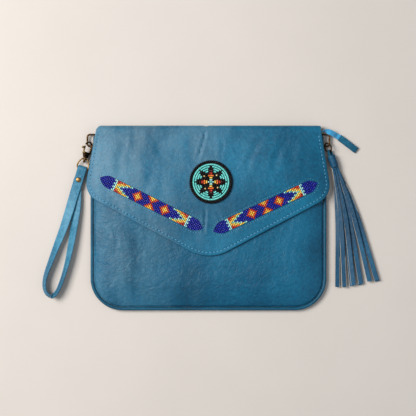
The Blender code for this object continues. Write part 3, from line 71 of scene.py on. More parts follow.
class Socket:
    """A value that varies over a surface; arithmetic on it adds Math nodes."""

    def __init__(self, finish, link):
        self.finish, self.link = finish, link

    def math(self, operation, *values):
        return self.finish.node("ShaderNodeMath", {"operation": operation}, values)

    def __add__(self, other):
        return self.math("ADD", self, other)

    def __sub__(self, other):
        return self.math("SUBTRACT", self, other)

    def __rsub__(self, other):
        return self.math("SUBTRACT", other, self)

    def __mul__(self, other):
        return self.math("MULTIPLY", self, other)

    __radd__ = __add__
    __rmul__ = __mul__

    def power(self, exponent):
        return self.math("POWER", self, exponent)

    def sine(self):
        return self.math("SINE", self)

    def between(self, low, high):
        """0 below low, 1 above high, and a smooth step from one to the other."""
        return self.finish.node("ShaderNodeMapRange", {"interpolation_type": "SMOOTHSTEP"},
                                {"Value": self, "From Min": low, "From Max": high})


class Finish:
    """A procedural material, built on one Principled shader."""

    def __init__(self, name, **fixed):
        self.material = bpy.data.materials.new(name)
        self.material.use_nodes = True
        self.tree = self.material.node_tree
        self.shader = self.tree.nodes["Principled BSDF"]
        for socket, value in fixed.items():
            self.shader.inputs[socket.replace("_", " ")].default_value = value

    def node(self, kind, settings=None, inputs=(), output=0):
        made = self.tree.nodes.new(kind)
        for key, value in (settings or {}).items():
            if key == "stops":
                while len(made.color_ramp.elements) < len(value):
                    made.color_ramp.elements.new(0.5)
                for stop, (place, colour) in zip(made.color_ramp.elements, value):
                    stop.position, stop.color = place, colour
            else:
                setattr(made, key, value)
        for key, value in inputs.items() if isinstance(inputs, dict) else enumerate(inputs):
            self.feed(made.inputs[key], value)
        return Socket(self, made.outputs[output])

    def feed(self, socket, value):
        if isinstance(value, Socket):
            self.tree.links.new(value.link, socket)
        else:
            socket.default_value = value

    def set(self, **sockets):
        for name, value in sockets.items():
            self.feed(self.shader.inputs[name.replace("_", " ")], value)
        return self

    def place(self):
        return self.node("ShaderNodeTexCoord", output="Object")

    def axes(self):
        split = self.node("ShaderNodeSeparateXYZ", None, (self.place(),))
        return [Socket(self, output) for output in split.link.node.outputs]

    def cloud(self, size, detail=3.0, rough=0.55, warp=0.0, place=None):
        """Noise between 0 and 1 with features of about that size in metres."""
        return self.node("ShaderNodeTexNoise", None,
                         {"Vector": place or self.place(), "Scale": 1.0 / size, "Detail": detail,
                          "Roughness": rough, "Distortion": warp})

    def cells(self, size):
        return self.node("ShaderNodeTexVoronoi", None, {"Vector": self.place(), "Scale": 1.0 / size})

    def ramp(self, value, *stops):
        return self.node("ShaderNodeValToRGB", {"stops": stops}, (value,))

    def mixed(self, share, first, second):
        return self.node("ShaderNodeMix", {"data_type": "RGBA"}, {0: share, 6: first, 7: second}, 2)

    def bump(self, height, depth, strength, under=None):
        inputs = {"Height": height, "Distance": depth, "Strength": strength}
        if under:
            inputs["Normal"] = under
        return self.node("ShaderNodeBump", None, inputs)


paper = Finish("pale_paper", Roughness=0.9)
fibre = paper.cloud(0.15, 4.0)
paper.set(Base_Color=paper.ramp(fibre, (0.35, dye("c9c1ba")), (0.65, dye("ccc4bd"))))
bm = bmesh.new()
bmesh.ops.create_grid(bm, x_segments=1, y_segments=1, size=2.5)
floor_mesh = bpy.data.meshes.new("floor")
bm.to_mesh(floor_mesh)
bm.free()
floor_mesh.materials.append(paper.material)
floor = bpy.data.objects.new("floor", floor_mesh)
floor.location.z = -0.0003
bpy.context.collection.objects.link(floor)

for name, place, size, watts, colour in (("window", (-1.00, 0.42, 1.35), 0.90, 38.0, (1.0, 0.985, 0.96)),
                                         ("fill", (1.2, -0.5, 1.3), 1.2, 4.0, (0.92, 0.96, 1.0))):
    lamp = bpy.data.objects.new(name, bpy.data.lights.new(name, "AREA"))
    lamp.data.size, lamp.data.energy, lamp.data.color = size, watts, colour
    lamp.location = place
    lamp.rotation_euler = (-Vector(place)).to_track_quat("-Z", "Y").to_euler()
    bpy.context.collection.objects.link(lamp)
world = bpy.data.worlds.new("room")
world.use_nodes = True
sky = world.node_tree.nodes["Background"].inputs
sky["Color"].default_value, sky["Strength"].default_value = (0.86, 0.93, 1.0, 1.0), 0.32
bpy.context.scene.world = world

# Pouch front: one puffy panel of soft pull-up leather, teal-blue and waxed. It is
# sewn to the back along its piping, and turns down into that seam at its edge.

MM = 0.001
GAP = 0.3
LEATHER = 1.4
HALF_WIDTH, TOP_HALF_WIDTH = 140.0, 132.5
BOTTOM_Y, CORNER, TAPER_Y = -109.5, 38.0, 40.0
HINGE_Y, FOLD_RADIUS = 103.0, 6.5
MOUTH_Y = 101.0
PIPING_RADIUS = 2.0
PANEL_INSET = 2 * PIPING_RADIUS + GAP
PIPING_TOP_Y, TAB_TOP_Y = 83.5, 96.8
FRONT_SEAM_Z, CROWN_Z, MOUTH_DROP = 2.6, 12.6, 3.7
SLOPE_Y, SEAM_LIFT, LIFT_RUN = 30.0, 2.5, 30.0
SIDE_REACH, MOUTH_REACH, BACK_REACH = 40.0, 14.0, 20.0
CORNER_Y, INNER_CORNER = BOTTOM_Y + CORNER, CORNER - PANEL_INSET


def clamp(share):
    return max(0.0, min(1.0, share))


def smooth(share):
    share = clamp(share)
    return share * share * (3.0 - 2.0 * share)


def mix(a, b, share):
    return a + (b - a) * share


def spaced(start, end, steps):
    return [mix(start, end, i / steps) for i in range(steps + 1)]


def side_x(y):
    rise = clamp((y - TAPER_Y) / (HINGE_Y - TAPER_Y))
    return HALF_WIDTH - (HALF_WIDTH - TOP_HALF_WIDTH) * rise ** 1.2


def panel_side_x(y):
    return side_x(y) - PANEL_INSET * (1.0 - smooth((y - TAB_TOP_Y) / (HINGE_Y - TAB_TOP_Y)))


def panel_distance(x, y):
    """Distance inwards from the sewn edge of the panels."""
    across, below = abs(x) - (panel_side_x(y) - INNER_CORNER), CORNER_Y - y
    return INNER_CORNER - math.hypot(max(across, 0.0), max(below, 0.0)) - min(max(across, below), 0.0)


def near_mouth(y):
    return smooth((y - SLOPE_Y) / (MOUTH_Y - SLOPE_Y))


def seam_lift(y):
    return SEAM_LIFT * (1.0 - smooth((y - PIPING_TOP_Y) / LIFT_RUN + 1.0))


def dome(share):
    return 1.0 - (1.0 - clamp(share)) ** 2


def puff_reach(y):
    """How far in from the seam the leather goes on rising: less near the mouth."""
    return mix(SIDE_REACH, MOUTH_REACH, near_mouth(y))


def front_lower(x, y):
    crown = CROWN_Z - MOUTH_DROP * near_mouth(y)
    return mix(seam_lift(y) + FRONT_SEAM_Z, crown, dome(panel_distance(x, y) / puff_reach(y)))


def back_lower(x, y):
    return seam_lift(y) * (1.0 - smooth(panel_distance(x, y) / BACK_REACH))


def distance_to(line):
    """Function that gives the distance of a point from a drawn line."""
    starts = np.array(line[:-1], float)
    steps = np.array(line[1:], float) - starts
    squares = (steps ** 2).sum(1)

    def measured(x, y):
        arms = np.array((x, y)) - starts
        share = np.clip((arms * steps).sum(1) / squares, 0.0, 1.0)
        return float(np.sqrt(((arms - steps * share[:, None]) ** 2).sum(1)).min())

    return measured


def uneven(*place):
    """Unevenness of handwork, between about -1 and 1, which changes smoothly with the place."""
    return noise.noise(Vector(place))


def swell(x, y, size, seed=0.0):
    return uneven(x / size, y / size, seed)


def creased(lines):
    """Height of folds that were pressed into the leather: (points, width, depth) each."""
    folds = [(distance_to(points), width, depth, points) for points, width, depth in lines]

    def height(x, y):
        total = 0.0
        for measured, width, depth, points in folds:
            away = measured(x, y) / width
            if away < 3.0:
                ends = min(math.dist((x, y), points[0]), math.dist((x, y), points[-1])) / 9.0
                total -= depth * clamp(ends) * (math.exp(-away ** 2) - 0.45 * math.exp(-(away - 1.5) ** 2))
        return total

    return height


def skin(edge, columns, height, left=None):
    """Surface from a right-hand edge line to a left-hand one or its mirror image, closest ruled near them."""
    shape, left = bmesh.new(), left or [(-x, y) for x, y in edge]
    bmesh.ops.create_grid(shape, x_segments=columns, y_segments=len(edge) - 1, size=1.0)
    for vert in shape.verts:
        row = round((1.0 - vert.co.y) / 2.0 * (len(edge) - 1))
        share = 0.5 + 0.5 * math.copysign(1.0 - (1.0 - abs(vert.co.x)) ** 1.5, vert.co.x)
        x, y = mix(left[row][0], edge[row][0], share), mix(left[row][1], edge[row][1], share)
        vert.co = (x, y, height(x, y))
    bmesh.ops.remove_doubles(shape, verts=shape.verts[:], dist=0.002)
    return shape


def finished(name, shape, finishes, body, stands_for=(), wall=0.0, sharp=None):
    """Turns a shape in millimetres into a piece that rides on its body."""
    bmesh.ops.scale(shape, vec=(MM, MM, MM), verts=shape.verts[:])
    mesh = bpy.data.meshes.new(name)
    shape.to_mesh(mesh)
    shape.free()
    for finish in finishes:
        mesh.materials.append(finish.material)
    mesh.shade_smooth()
    if sharp:
        mesh.set_sharp_from_angle(angle=math.radians(sharp))
    piece = bpy.data.objects.new(name, mesh)
    bpy.context.collection.objects.link(piece)
    if wall:
        thicken = piece.modifiers.new("wall", "SOLIDIFY")
        thicken.thickness, thicken.offset = wall * MM, -1.0
        thicken.use_even_offset = True
    if body:
        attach(piece, body)
    if stands_for:
        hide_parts(*stands_for)
    return piece


def leather(name, dark, middle, light, bloom_and_sheen=None, wax_and_sheen=0.0, wrinkled=0.4):
    """Aniline leather: even dye, fine pebbled grain, and a pale bloom in soft upright streaks, laid only on the
    left, lit side: partly the leather's wax bloom, partly a painted sheen.
    """
    finish = Finish(name, Specular_IOR_Level=0.25)
    patches = finish.cloud(0.07, 3.0, 0.5)
    specks = finish.cloud(0.0035, 4.0, 0.7)
    creasing = finish.cloud(0.009, 3.0, 0.6, 1.8)
    tone = patches * 0.6 + specks * 0.4
    colour = finish.ramp(tone, (0.36, dye(dark)), (0.5, dye(middle)), (0.64, dye(light)))
    if bloom_and_sheen:
        x, y, _ = finish.axes()
        # Painted sheen: the pale bloom is mixed in only on the left, towards the window, in upright streaks of
        # painted highlight and along the crease pattern; it stands partly for the leather's wax bloom.
        left = (y * 0.35 - x).between(-0.07, 0.11)
        upright = finish.node("ShaderNodeMapping", None, {
            "Vector": finish.place(), "Scale": (1.0, 0.3, 1.0), "Rotation": (0.0, 0.0, -0.25)})
        sheen_streaks = finish.cloud(0.028, 3.0, 0.55, place=upright).between(0.36, 0.66)
        lightened = creasing.between(0.5, 0.72)
        colour = finish.mixed(left * (sheen_streaks * 0.65 + lightened * 0.35 + 0.15) * wax_and_sheen, colour, dye(bloom_and_sheen))
    grain = finish.cells(0.0011).power(0.7)
    pores = finish.cloud(0.0006, 2.0, 0.5)
    folded = finish.bump(creasing, 0.0015, wrinkled)
    grained = finish.bump(pores * 0.5 - grain * 0.7, 0.00022, 0.45, folded)
    return finish.set(Base_Color=colour, Roughness=patches * 0.14 + specks * 0.12 + 0.33, Normal=grained)


# The fifth colour is the pale bloom: partly wax bloom, partly painted sheen on the left, lit side.
pouch_leather = leather("pouch_leather", "053b55", "074d6b", "0e5f7f", "5a8ea6", 0.42, 0.7)


def corner_line(radius, steps):
    """The lower right corner, from the side down to the bottom, with points crowding towards the bottom."""
    drops = [radius * (1.0 - (1.0 - i / steps) ** 1.7) for i in range(1, steps + 1)]
    middle = HALF_WIDTH - PANEL_INSET - INNER_CORNER
    return [(middle + math.sqrt(max(radius ** 2 - drop ** 2, 0.0)), CORNER_Y - drop) for drop in drops]


edge_line = [(panel_side_x(y), y) for y in spaced(MOUTH_Y, CORNER_Y, 60)] + corner_line(INNER_CORNER, 30)
front_creases = creased([
    ([(-46, -34), (-58, -42), (-70, -50), (-84, -66)], 1.2, 0.4), ([(-36, -46), (-50, -60), (-62, -66)], 1.1, 0.3),
    ([(-95, -20), (-80, -34), (-76, -46)], 2.2, 0.3), ([(-24, -52), (-40, -66), (-60, -80), (-80, -84)], 1.3, 0.4),
    ([(-8, -54), (-14, -68), (-30, -80)], 1.3, 0.35), ([(-100, -60), (-84, -78), (-62, -88)], 1.8, 0.35),
    ([(20, -70), (52, -78), (84, -72)], 3.2, 0.3), ([(104, -10), (96, -44), (104, -70)], 3.0, 0.3),
    ([(-118, 4), (-108, -22), (-112, -52)], 2.6, 0.3), ([(2, -56), (6, -66), (4, -80)], 1.4, 0.3)])


def front_top(x, y):
    away = panel_distance(x, y)
    inside = smooth(away / 30.0)
    height = front_lower(x, y) + LEATHER + inside * (0.9 * swell(x, y, 52.0) + 0.35 * swell(x, y, 17.0, 4.0))
    ruffle = 0.30 * uneven(x / 4.0, y / 11.0, 7.0) * smooth((away - 1.0) / 5.0) * (1 - smooth(away / 26.0))
    lower_left = smooth((80.0 - x) / 110.0) * smooth((10.0 - y) / 50.0)
    fine = 0.36 * uneven((x + y) / 13.0, (x - y) / 3.4, 2.0) * lower_left * smooth(away / 9.0)
    turned = 1.3 * (1.0 - smooth(away / 2.2))
    return height + ruffle + fine + front_creases(x, y) * smooth(away / 10.0) - turned


finished("pouch_front", skin(edge_line, 150, front_top), (pouch_leather,), "bag", ("front_panel",),
         LEATHER)

# Pouch back: one panel of the same leather, which lies flat on the table.
# It lifts along its edge, where it is sewn to the front.


def back_upper(x, y):
    slack = 0.06 * (1 + swell(x, y, 40.0, 9.0)) * smooth(panel_distance(x, y) / 25.0)
    return back_lower(x, y) + slack


back_line = [(panel_side_x(y), y) for y in spaced(HINGE_Y + GAP / 2, MOUTH_Y, 2)][:-1] + edge_line
shape = skin(back_line, 80, back_upper)
bmesh.ops.reverse_faces(shape, faces=shape.faces[:])
finished("pouch_back", shape, (pouch_leather,), "bag", ("back_panel",), LEATHER)

# Linings: plain woven cotton, one sheet behind each panel, sewn in with the seam
# and stopped short of the zip.


def cloth(name, dark, light, pitch):
    """Plain weave: fine threads over and under each other, with a little fuzz."""
    finish = Finish(name, Roughness=0.85, Sheen_Weight=0.25)
    x, y, z = finish.axes()
    turn = 2.0 * math.pi / pitch
    weave = (x * turn).sine() * ((y + z) * turn).sine() * 0.5 + 0.5
    fuzz = finish.cloud(0.003, 3.0)
    return finish.set(Base_Color=finish.mixed(weave * 0.5 + fuzz * 0.5, dye(dark), dye(light)),
                      Normal=finish.bump(weave + fuzz * 0.4, 0.00012, 0.6))


lining_cloth = cloth("lining_cloth", "15324a", "2d5673", 0.0009)
LINING_GAP, LINING_WALL = 1.3, 0.5
inset = 15.0 - PANEL_INSET
lining_line = [(x - inset, y) for x, y in edge_line if MOUTH_Y - 3.0 > y > CORNER_Y]
lining_line += corner_line(INNER_CORNER - inset, 16)
front_cloth = skin(lining_line, 60, lambda x, y: front_lower(x, y) - LINING_GAP)
back_cloth = skin(lining_line, 60, lambda x, y: back_lower(x, y) + LEATHER + LINING_GAP + LINING_WALL)
for node, shape in (("front_lining", front_cloth), ("back_lining", back_cloth)):
    piece = finished(node + "_cloth", shape, (lining_cloth,), "bag", (node,), LINING_WALL)

# Piping: a cord wrapped in a strip of the leather, caught between the panels,
# so that it stands proud all round the pouch's seam.


def smooth_path(points, per_span=4):
    """Smooth curve through chosen points of any dimension."""
    points = [Vector(p) for p in points]
    padded = [2 * points[0] - points[1]] + points + [2 * points[-1] - points[-2]]
    path = []
    for i in range(1, len(padded) - 2):
        a, b, c, d = padded[i - 1:i + 3]
        for k in range(per_span):
            t = k / per_span
            path.append(0.5 * (2 * b + (c - a) * t + (2 * a - 5 * b + 4 * c - d) * t ** 2
                               + (3 * b - a - 3 * c + d) * t ** 3))
    return path + [points[-1]]


def arc(x, y, wide, tall, start, end, steps):
    """Points round (x, y) on an ellipse, from one angle to another."""
    return [(x + wide * math.cos(a), y + tall * math.sin(a)) for a in spaced(start, end, steps)]


def outward(shape):
    """Turns the faces of a closed shape outwards."""
    bmesh.ops.recalc_face_normals(shape, faces=shape.faces[:])
    return shape


def drawn_mesh(piece):
    """A piece's mesh, as its curve or its modifiers make it."""
    bpy.context.view_layer.update()
    return bpy.data.meshes.new_from_object(piece.evaluated_get(bpy.context.evaluated_depsgraph_get()))


def round_line(name, points, radius, finish, body, stands_for=(), closed=False, radii=None, detail=4):
    """Round cord, wire or thread along a line of points in millimetres."""
    curve = bpy.data.curves.new(name + "_line", "CURVE")
    curve.dimensions = "3D"
    curve.bevel_depth, curve.bevel_resolution = radius * MM, detail
    curve.use_fill_caps = True
    spline = curve.splines.new("POLY")
    spline.points.add(len(points) - 1)
    for spot, point, share in zip(spline.points, points, radii or [1.0] * len(points)):
        spot.co = (*(Vector(point) * MM), 1.0)
        spot.radius = share
    spline.use_cyclic_u = closed
    drawn = bpy.data.objects.new(name + "_line", curve)
    bpy.context.collection.objects.link(drawn)
    mesh = drawn_mesh(drawn)
    bpy.data.objects.remove(drawn)
    shape = bmesh.new()
    shape.from_mesh(mesh)
    bpy.data.meshes.remove(mesh)
    bmesh.ops.remove_doubles(shape, verts=shape.verts[:], dist=1e-7)
    bmesh.ops.scale(outward(shape), vec=(1 / MM, 1 / MM, 1 / MM), verts=shape.verts[:])
    return finished(name, shape, (finish,), body, stands_for, sharp=50)


piping_leather = leather("piping_leather", "083c53", "0c4c66", "16607b")
path = [(side_x(y) - PIPING_RADIUS, y) for y in spaced(PIPING_TOP_Y, CORNER_Y, 70)]
reach = CORNER - PIPING_RADIUS
path += arc(HALF_WIDTH - CORNER, CORNER_Y, reach, -reach, 0.0, math.pi / 2, 24)[1:]
bottom = [(x, path[-1][1]) for x in spaced(path[-1][0], -path[-1][0], 80)][1:-1]
path = path + bottom + [(-x, y) for x, y in reversed(path)]
points = [(x, y, seam_lift(y) + PIPING_RADIUS) for x, y in path]
radii = [1.0 + 0.045 * swell(x, y, 5.0, 3.0) for x, y in path]
round_line("piping_cord", points, PIPING_RADIUS * 0.97, piping_leather, "bag", ("piping",),
           radii=radii, detail=5)

# Flap: the back's leather comes over the top and ends in an envelope point with
# broad round shoulders. Two long windows cut in it hold the beaded bands.

SHOULDER_ROUND, TIP_ROUND, SEAM_INSET, WINDOW_SEAM = 24.0, 48.0, 3.9, 2.3
BAND_HALF, BAND_REACH, BAND_TIP, BAND_BLUNT = 7.0, 67.6, 12.0, 1.8


def rounded_polygon(corners, steps):
    """Closed outline through (x, y, radius) corners, each turned by an arc."""
    points = []
    for i, (x, y, radius) in enumerate(corners):
        here = Vector((x, y))
        before = Vector(corners[i - 1][:2]) - here
        after = Vector(corners[(i + 1) % len(corners)][:2]) - here
        if radius <= 0.0:
            points.append((x, y))
            continue
        half = before.angle(after) / 2.0
        middle = (before.normalized() + after.normalized()).normalized()
        centre = here + middle * (radius / math.sin(half))
        first = here + before.normalized() * (radius / math.tan(half)) - centre
        last = here + after.normalized() * (radius / math.tan(half)) - centre
        turn = first.angle_signed(last)
        for k in range(steps + 1):
            arm = first.copy()
            arm.rotate(Matrix.Rotation(-turn * k / steps, 2))
            points.append(tuple(centre + arm))
    return points


def resampled(line, step):
    """The same line with points a set distance apart."""
    line = [Vector(p) for p in line]
    lengths = [(b - a).length for a, b in zip(line, line[1:])]
    total = sum(lengths)
    count = max(1, round(total / step))
    found, i, passed = [line[0].copy()], 0, 0.0
    for k in range(1, count):
        wanted = total * k / count
        while passed + lengths[i] < wanted:
            passed += lengths[i]
            i += 1
        found.append(line[i].lerp(line[i + 1], (wanted - passed) / lengths[i]))
    return found + [line[-1].copy()]


def flap_edges(inset=0.0, top_y=HINGE_Y + GAP / 2, steps=110):
    """Right-hand and left-hand edge of the flap from the fold to its point. The right shoulder sits lower."""
    tip, lines = Vector((0.0, -50.7)), [(Vector((0.0, top_y)), Vector((1.0, 0.0)))]
    for sign, shoulder in ((1, Vector((145.8, 26.5))), (-1, Vector((-147.4, 28.5)))):
        top = Vector((132.9 * sign, HINGE_Y))
        for start, end in ((top, shoulder), (shoulder, tip)):
            along = (end - start).normalized()
            lines.append((start + Vector((along.y, -along.x)) * inset * sign, along))

    def crossing(i, j):
        (p, d), (q, e) = lines[i], lines[j]
        away = q - p
        return tuple(p + d * ((away.x * e.y - away.y * e.x) / (d.x * e.y - d.y * e.x)))

    whole = rounded_polygon([
        (*crossing(0, 1), 0.0), (*crossing(1, 2), SHOULDER_ROUND - inset), (*crossing(2, 4), TIP_ROUND - inset),
        (*crossing(3, 4), SHOULDER_ROUND - inset), (*crossing(0, 3), 0.0)], 24)
    lowest = min(range(len(whole)), key=lambda i: whole[i][1])
    halves = whole[:lowest + 1], whole[:lowest - 1:-1]
    return [[tuple(p) for p in resampled(half, sum(map(math.dist, half, half[1:])) / steps)] for half in halves]


FLAP_AIR, FLAP_EDGE_Z, OVERHANG, ROLL_START = 2.0, 8.8, 8.8, 25.0


def flap_lower(x, y):
    crown = CROWN_Z + LEATHER + FLAP_AIR - MOUTH_DROP * near_mouth(y)
    share = dome((panel_distance(x, y) + OVERHANG) / (puff_reach(y) + OVERHANG))
    to_fold = smooth((y - HINGE_Y + ROLL_START) / ROLL_START)
    return mix(mix(FLAP_EDGE_Z, crown, share), 2 * FOLD_RADIUS - LEATHER, to_fold)


def band_place(sign):
    x, y, slope = (-67.4, 17.6, -26.4) if sign < 0 else (67.1, 12.9, 25.0)
    return Matrix.Translation((x, y, 0.0)) @ Matrix.Rotation(math.radians(slope), 4, "Z")


def band_outline(spare=0.0):
    half, reach = BAND_HALF + spare, BAND_REACH + spare
    quarter = [(mix(reach - BAND_TIP, reach, t), half * (1.0 - t ** BAND_BLUNT)) for t in spaced(0.0, 1.0, 10)]
    right = quarter + [(x, -y) for x, y in reversed(quarter[:-1])]
    return right + [(-x, y) for x, y in reversed(right) if abs(x) < reach - 1e-9 or y == 0.0]


flap_right, flap_left = flap_edges()
from_edge = distance_to(flap_right + flap_left[-2::-1])
windows = []
for sign in (-1, 1):
    around = [band_place(sign) @ Vector((x, y, 0.0)) for x, y in band_outline()]
    windows.append(distance_to([p.to_2d() for p in around + around[:1]]))
flap_creases = creased([
    ([(-3, 110), (-4.5, 96), (-8, 84), (-14, 66)], 1.6, 1.6), ([(-4, 15.5), (-4, 0), (-5, -17)], 1.7, 1.2),
    ([(14, 98), (17, 84), (14, 72)], 2.2, 0.6), ([(6, 14), (13, 2), (17, -10)], 2.2, 0.5),
    ([(-62, 96), (-58, 78), (-48, 62)], 4.5, 0.5), ([(-100, 88), (-106, 70), (-104, 46)], 5.0, 0.5),
    ([(60, 92), (50, 74), (44, 56)], 4.0, 0.55), ([(88, 90), (80, 70), (74, 52)], 4.5, 0.5),
    ([(118, 88), (112, 66), (114, 48)], 5.0, 0.4), ([(-84, 22), (-70, 40), (-66, 56)], 5.0, 0.4)])


def flap_top(x, y):
    away = from_edge(x, y)
    height = flap_lower(x, y) + LEATHER
    calm = smooth(away / 14.0) * smooth((HINGE_Y - y) / 14.0)
    height += calm * (0.5 * swell(x, y, 46.0, 12.0) + 0.2 * swell(x, y, 15.0, 5.0))
    height += calm * 0.55 * uneven((x + 0.28 * y) / 15.0, y / 55.0, 8.0)
    if away < 1.0:
        height -= 0.8 * (1.0 - math.sqrt(max(0.0, 1.0 - (1.0 - away) ** 2)))
    if HINGE_Y - y > 6.0:
        height -= 0.30 * math.exp(-((away - SEAM_INSET) / 0.7) ** 2) - 0.10 * math.exp(-(away - 2.1) ** 2)
    for window in windows:
        beside = window(x, y)
        if beside < 6.0:
            height -= 0.25 * math.exp(-((beside - WINDOW_SEAM) / 0.8) ** 2)
    return height + flap_creases(x, y) * smooth((HINGE_Y - y) / 4.0 + 0.3)


def slab(outline, low, high):
    """Closed block between two heights, from an outline of (x, y)."""
    shape = bmesh.new()
    face = shape.faces.new([shape.verts.new((x, y, low)) for x, y in outline])
    raised = bmesh.ops.extrude_face_region(shape, geom=[face], use_keep_orig=True)["geom"]
    raised = [v for v in raised if isinstance(v, bmesh.types.BMVert)]
    bmesh.ops.translate(shape, vec=(0, 0, high - low), verts=raised)
    return outward(shape)


def settle(piece):
    """Makes what a piece's modifiers give its mesh."""
    mesh = drawn_mesh(piece)
    piece.modifiers.clear()
    piece.data = mesh


# The fifth colour is the pale bloom: partly wax bloom, partly painted sheen on the left, lit side.
flap_leather = leather("flap_leather", "064460", "085776", "106a8b", "7a97a5", 0.42)
shape = skin(flap_right, 170, flap_top, flap_left)
flap = finished("flap_panel", shape, (flap_leather,), None, wall=LEATHER)
for sign in (-1, 1):
    shape = slab(band_outline(GAP), 0.0, 30.0)
    bmesh.ops.transform(shape, matrix=band_place(sign), verts=shape.verts[:])
    cutter = finished("window_cutter", shape, (flap_leather,), None)
    opening = flap.modifiers.new("window", "BOOLEAN")
    opening.object, opening.operation, opening.solver = cutter, "DIFFERENCE", "EXACT"
    settle(flap)
    bpy.data.objects.remove(cutter)
flap.data.shade_smooth()
flap.data.set_sharp_from_angle(angle=math.radians(50))
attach(flap, "flap")
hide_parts("flap")

# Flap lining: one piece of the same cotton under the flap, turned in and stitched
# down along the flap's edge.

lining_right, lining_left = flap_edges(3.0, HINGE_Y - 9.0, 60)
shape = skin(lining_right, 70, lambda x, y: flap_lower(x, y) - 0.7, lining_left)
flap_lining = finished("flap_lining_cloth", shape, (lining_cloth,), "flap", ("flap_lining",), 0.6)

# Fold: the back's leather rolls over the top of the pouch in one piece and
# becomes the flap, with a pinch near its middle.

shape = bmesh.new()
bmesh.ops.create_grid(shape, x_segments=130, y_segments=22, size=1.0)
for vert in shape.verts:
    x = vert.co.x * TOP_HALF_WIDTH
    angle = vert.co.y * math.pi / 2.0
    pinch = 1.3 * math.exp(-((x + 3.0) / 2.0) ** 2) * max(math.cos(angle - 0.5), 0.0)
    end = 0.5 * smooth((abs(x) - TOP_HALF_WIDTH + 3.0) / 3.0)
    end += 4.5 * (1.0 - math.sqrt(1.0 - clamp((-x - 126.5) / 6.0) ** 2))
    reach = FOLD_RADIUS - pinch - (end + 0.12 * (1 + swell(x, angle * 9.0, 22.0, 3.0))) * math.cos(angle)
    vert.co = (x, HINGE_Y + GAP / 2 + reach * math.cos(angle), FOLD_RADIUS * (1 - math.sin(angle)))
if sum(f.normal.y for f in outward(shape).faces) < 0:
    bmesh.ops.reverse_faces(shape, faces=shape.faces[:])
fold = finished("fold_roll", shape, (flap_leather,), None, wall=LEATHER)
settle(fold)
fold.data.set_sharp_from_angle(angle=math.radians(50))
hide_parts("flap_fold")
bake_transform(fold)

# Stitches: lighter blue waxed thread round the flap and, finer, round each window.
# Each stitch is a short raised bar that dips at its ends into the needle's holes, and each hole is a dark sunk blob
# of painted shade.

thread = Finish("blue_thread", Roughness=0.6, Sheen_Weight=0.2)
twist = thread.cloud(0.0006, 2.0)
thread.set(Base_Color=thread.ramp(twist, (0.3, dye("3288b4")), (0.7, dye("62b0d2"))),
           Normal=thread.bump(twist, 0.0001, 0.5))
# Painted shade: the needle holes are dark blobs sunk just below the leather, for the shade inside each hole.
hole_shade = Finish("needle_hole", Roughness=0.9)
twist = hole_shade.cloud(0.0006, 2.0)
hole_shade.set(Base_Color=hole_shade.ramp(twist, (0.3, dye("0c2230")), (0.7, dye("1c4358"))))


def scattered(name, shape, spots, finishes, body, stands_for=(), sharp=None):
    """One piece made of many copies of a small shape: (matrix, finish number) each."""
    faces, verts = shape.faces[:], shape.verts[:]
    pattern = faces + verts + shape.edges[:]
    for place, number in spots:
        copied = bmesh.ops.duplicate(shape, geom=pattern)["geom"]
        bmesh.ops.transform(shape, matrix=place, verts=[v for v in copied if isinstance(v, bmesh.types.BMVert)])
        for face in copied:
            if isinstance(face, bmesh.types.BMFace):
                face.material_index = number
    bmesh.ops.delete(shape, geom=verts, context="VERTS")
    return finished(name, shape, finishes, body, stands_for, sharp=sharp)


def stitch(length, thick):
    """One stitch along X: a rounded bar with its ends bent down."""
    shape = bmesh.new()
    bmesh.ops.create_uvsphere(shape, u_segments=8, v_segments=6, radius=1.0,
                              matrix=Matrix.Rotation(math.pi / 2, 4, "Y"))
    for vert in shape.verts:
        x = vert.co.x
        vert.co = (x * length / 2, vert.co.y * thick / 2, vert.co.z * thick / 2 - 0.35 * thick * x * x)
    return shape


def facing(at, along, across, up):
    """Place at a point, with X, Y and Z along three directions."""
    return Matrix.Translation(at) @ Matrix((along, across, up)).transposed().to_4x4()


def hem(line, pitch, lift):
    """Places for stitches along a flat line of points, lying on the flap."""
    spots, points = [], resampled(line, pitch)
    for a, b in zip(points, points[1:]):
        middle = (a + b) / 2
        along = Vector((b.x - a.x, b.y - a.y, flap_top(b.x, b.y) - flap_top(a.x, a.y))).normalized()
        across = Vector((0, 0, 1)).cross(along).normalized()
        at = Vector((middle.x, middle.y, flap_top(middle.x, middle.y) + lift))
        spots.append((facing(at, along, across, along.cross(across)), 0))
    return spots


def sewn(label, spots, stitch_size, hole_size, hole_ahead, hole_depth):
    """A line of stitches on the flap, with a needle hole after each, drawn as a dark blob of painted shade."""
    scattered(label + "_stitches", stitch(*stitch_size), spots, (thread,), "flap")
    holes = [(place @ Matrix.Translation((hole_ahead, 0, -hole_depth)), 0) for place, _ in spots]
    scattered(label + "_needle_holes", stitch(*hole_size), holes, (hole_shade,), "flap")


SEAM_PITCH, WINDOW_PITCH = 4.4, 3.1
seam_right, seam_left = flap_edges(SEAM_INSET, HINGE_Y - 5.0)
sewn("flap", hem(seam_right + seam_left[-2::-1], SEAM_PITCH, 0.22), (2.9, 0.8), (1.1, 1.0), SEAM_PITCH / 2, 0.1)
spots = []
for sign in (-1, 1):
    around = [(band_place(sign) @ Vector((x, y, 0.0))).to_2d() for x, y in band_outline(WINDOW_SEAM)]
    spots += hem(around + around[:1], WINDOW_PITCH, 0.1)
sewn("window", spots, (1.9, 0.45), (1.0, 0.9), WINDOW_PITCH / 2, 0.05)

# Beads: size 11 seed beads, short rounded barrels of opaque glass with a hole.
# They are woven on threads in rows 2 mm apart, and each band is set in its window.


def bead_glass(name, dark, light, gloss=0.24, coat=0.25):
    """Glossy glass, a little uneven from bead to bead."""
    finish = Finish(name, Roughness=gloss, Specular_IOR_Level=2.0 * coat, Coat_Weight=coat, Coat_Roughness=0.15)
    batch = finish.cells(0.0021)
    tone = finish.cloud(0.0016, 1.0)
    colour = finish.mixed(tone.between(0.35, 0.65), dye(dark), dye(light))
    return finish.set(Base_Color=colour, Roughness=batch * 0.12 + gloss)


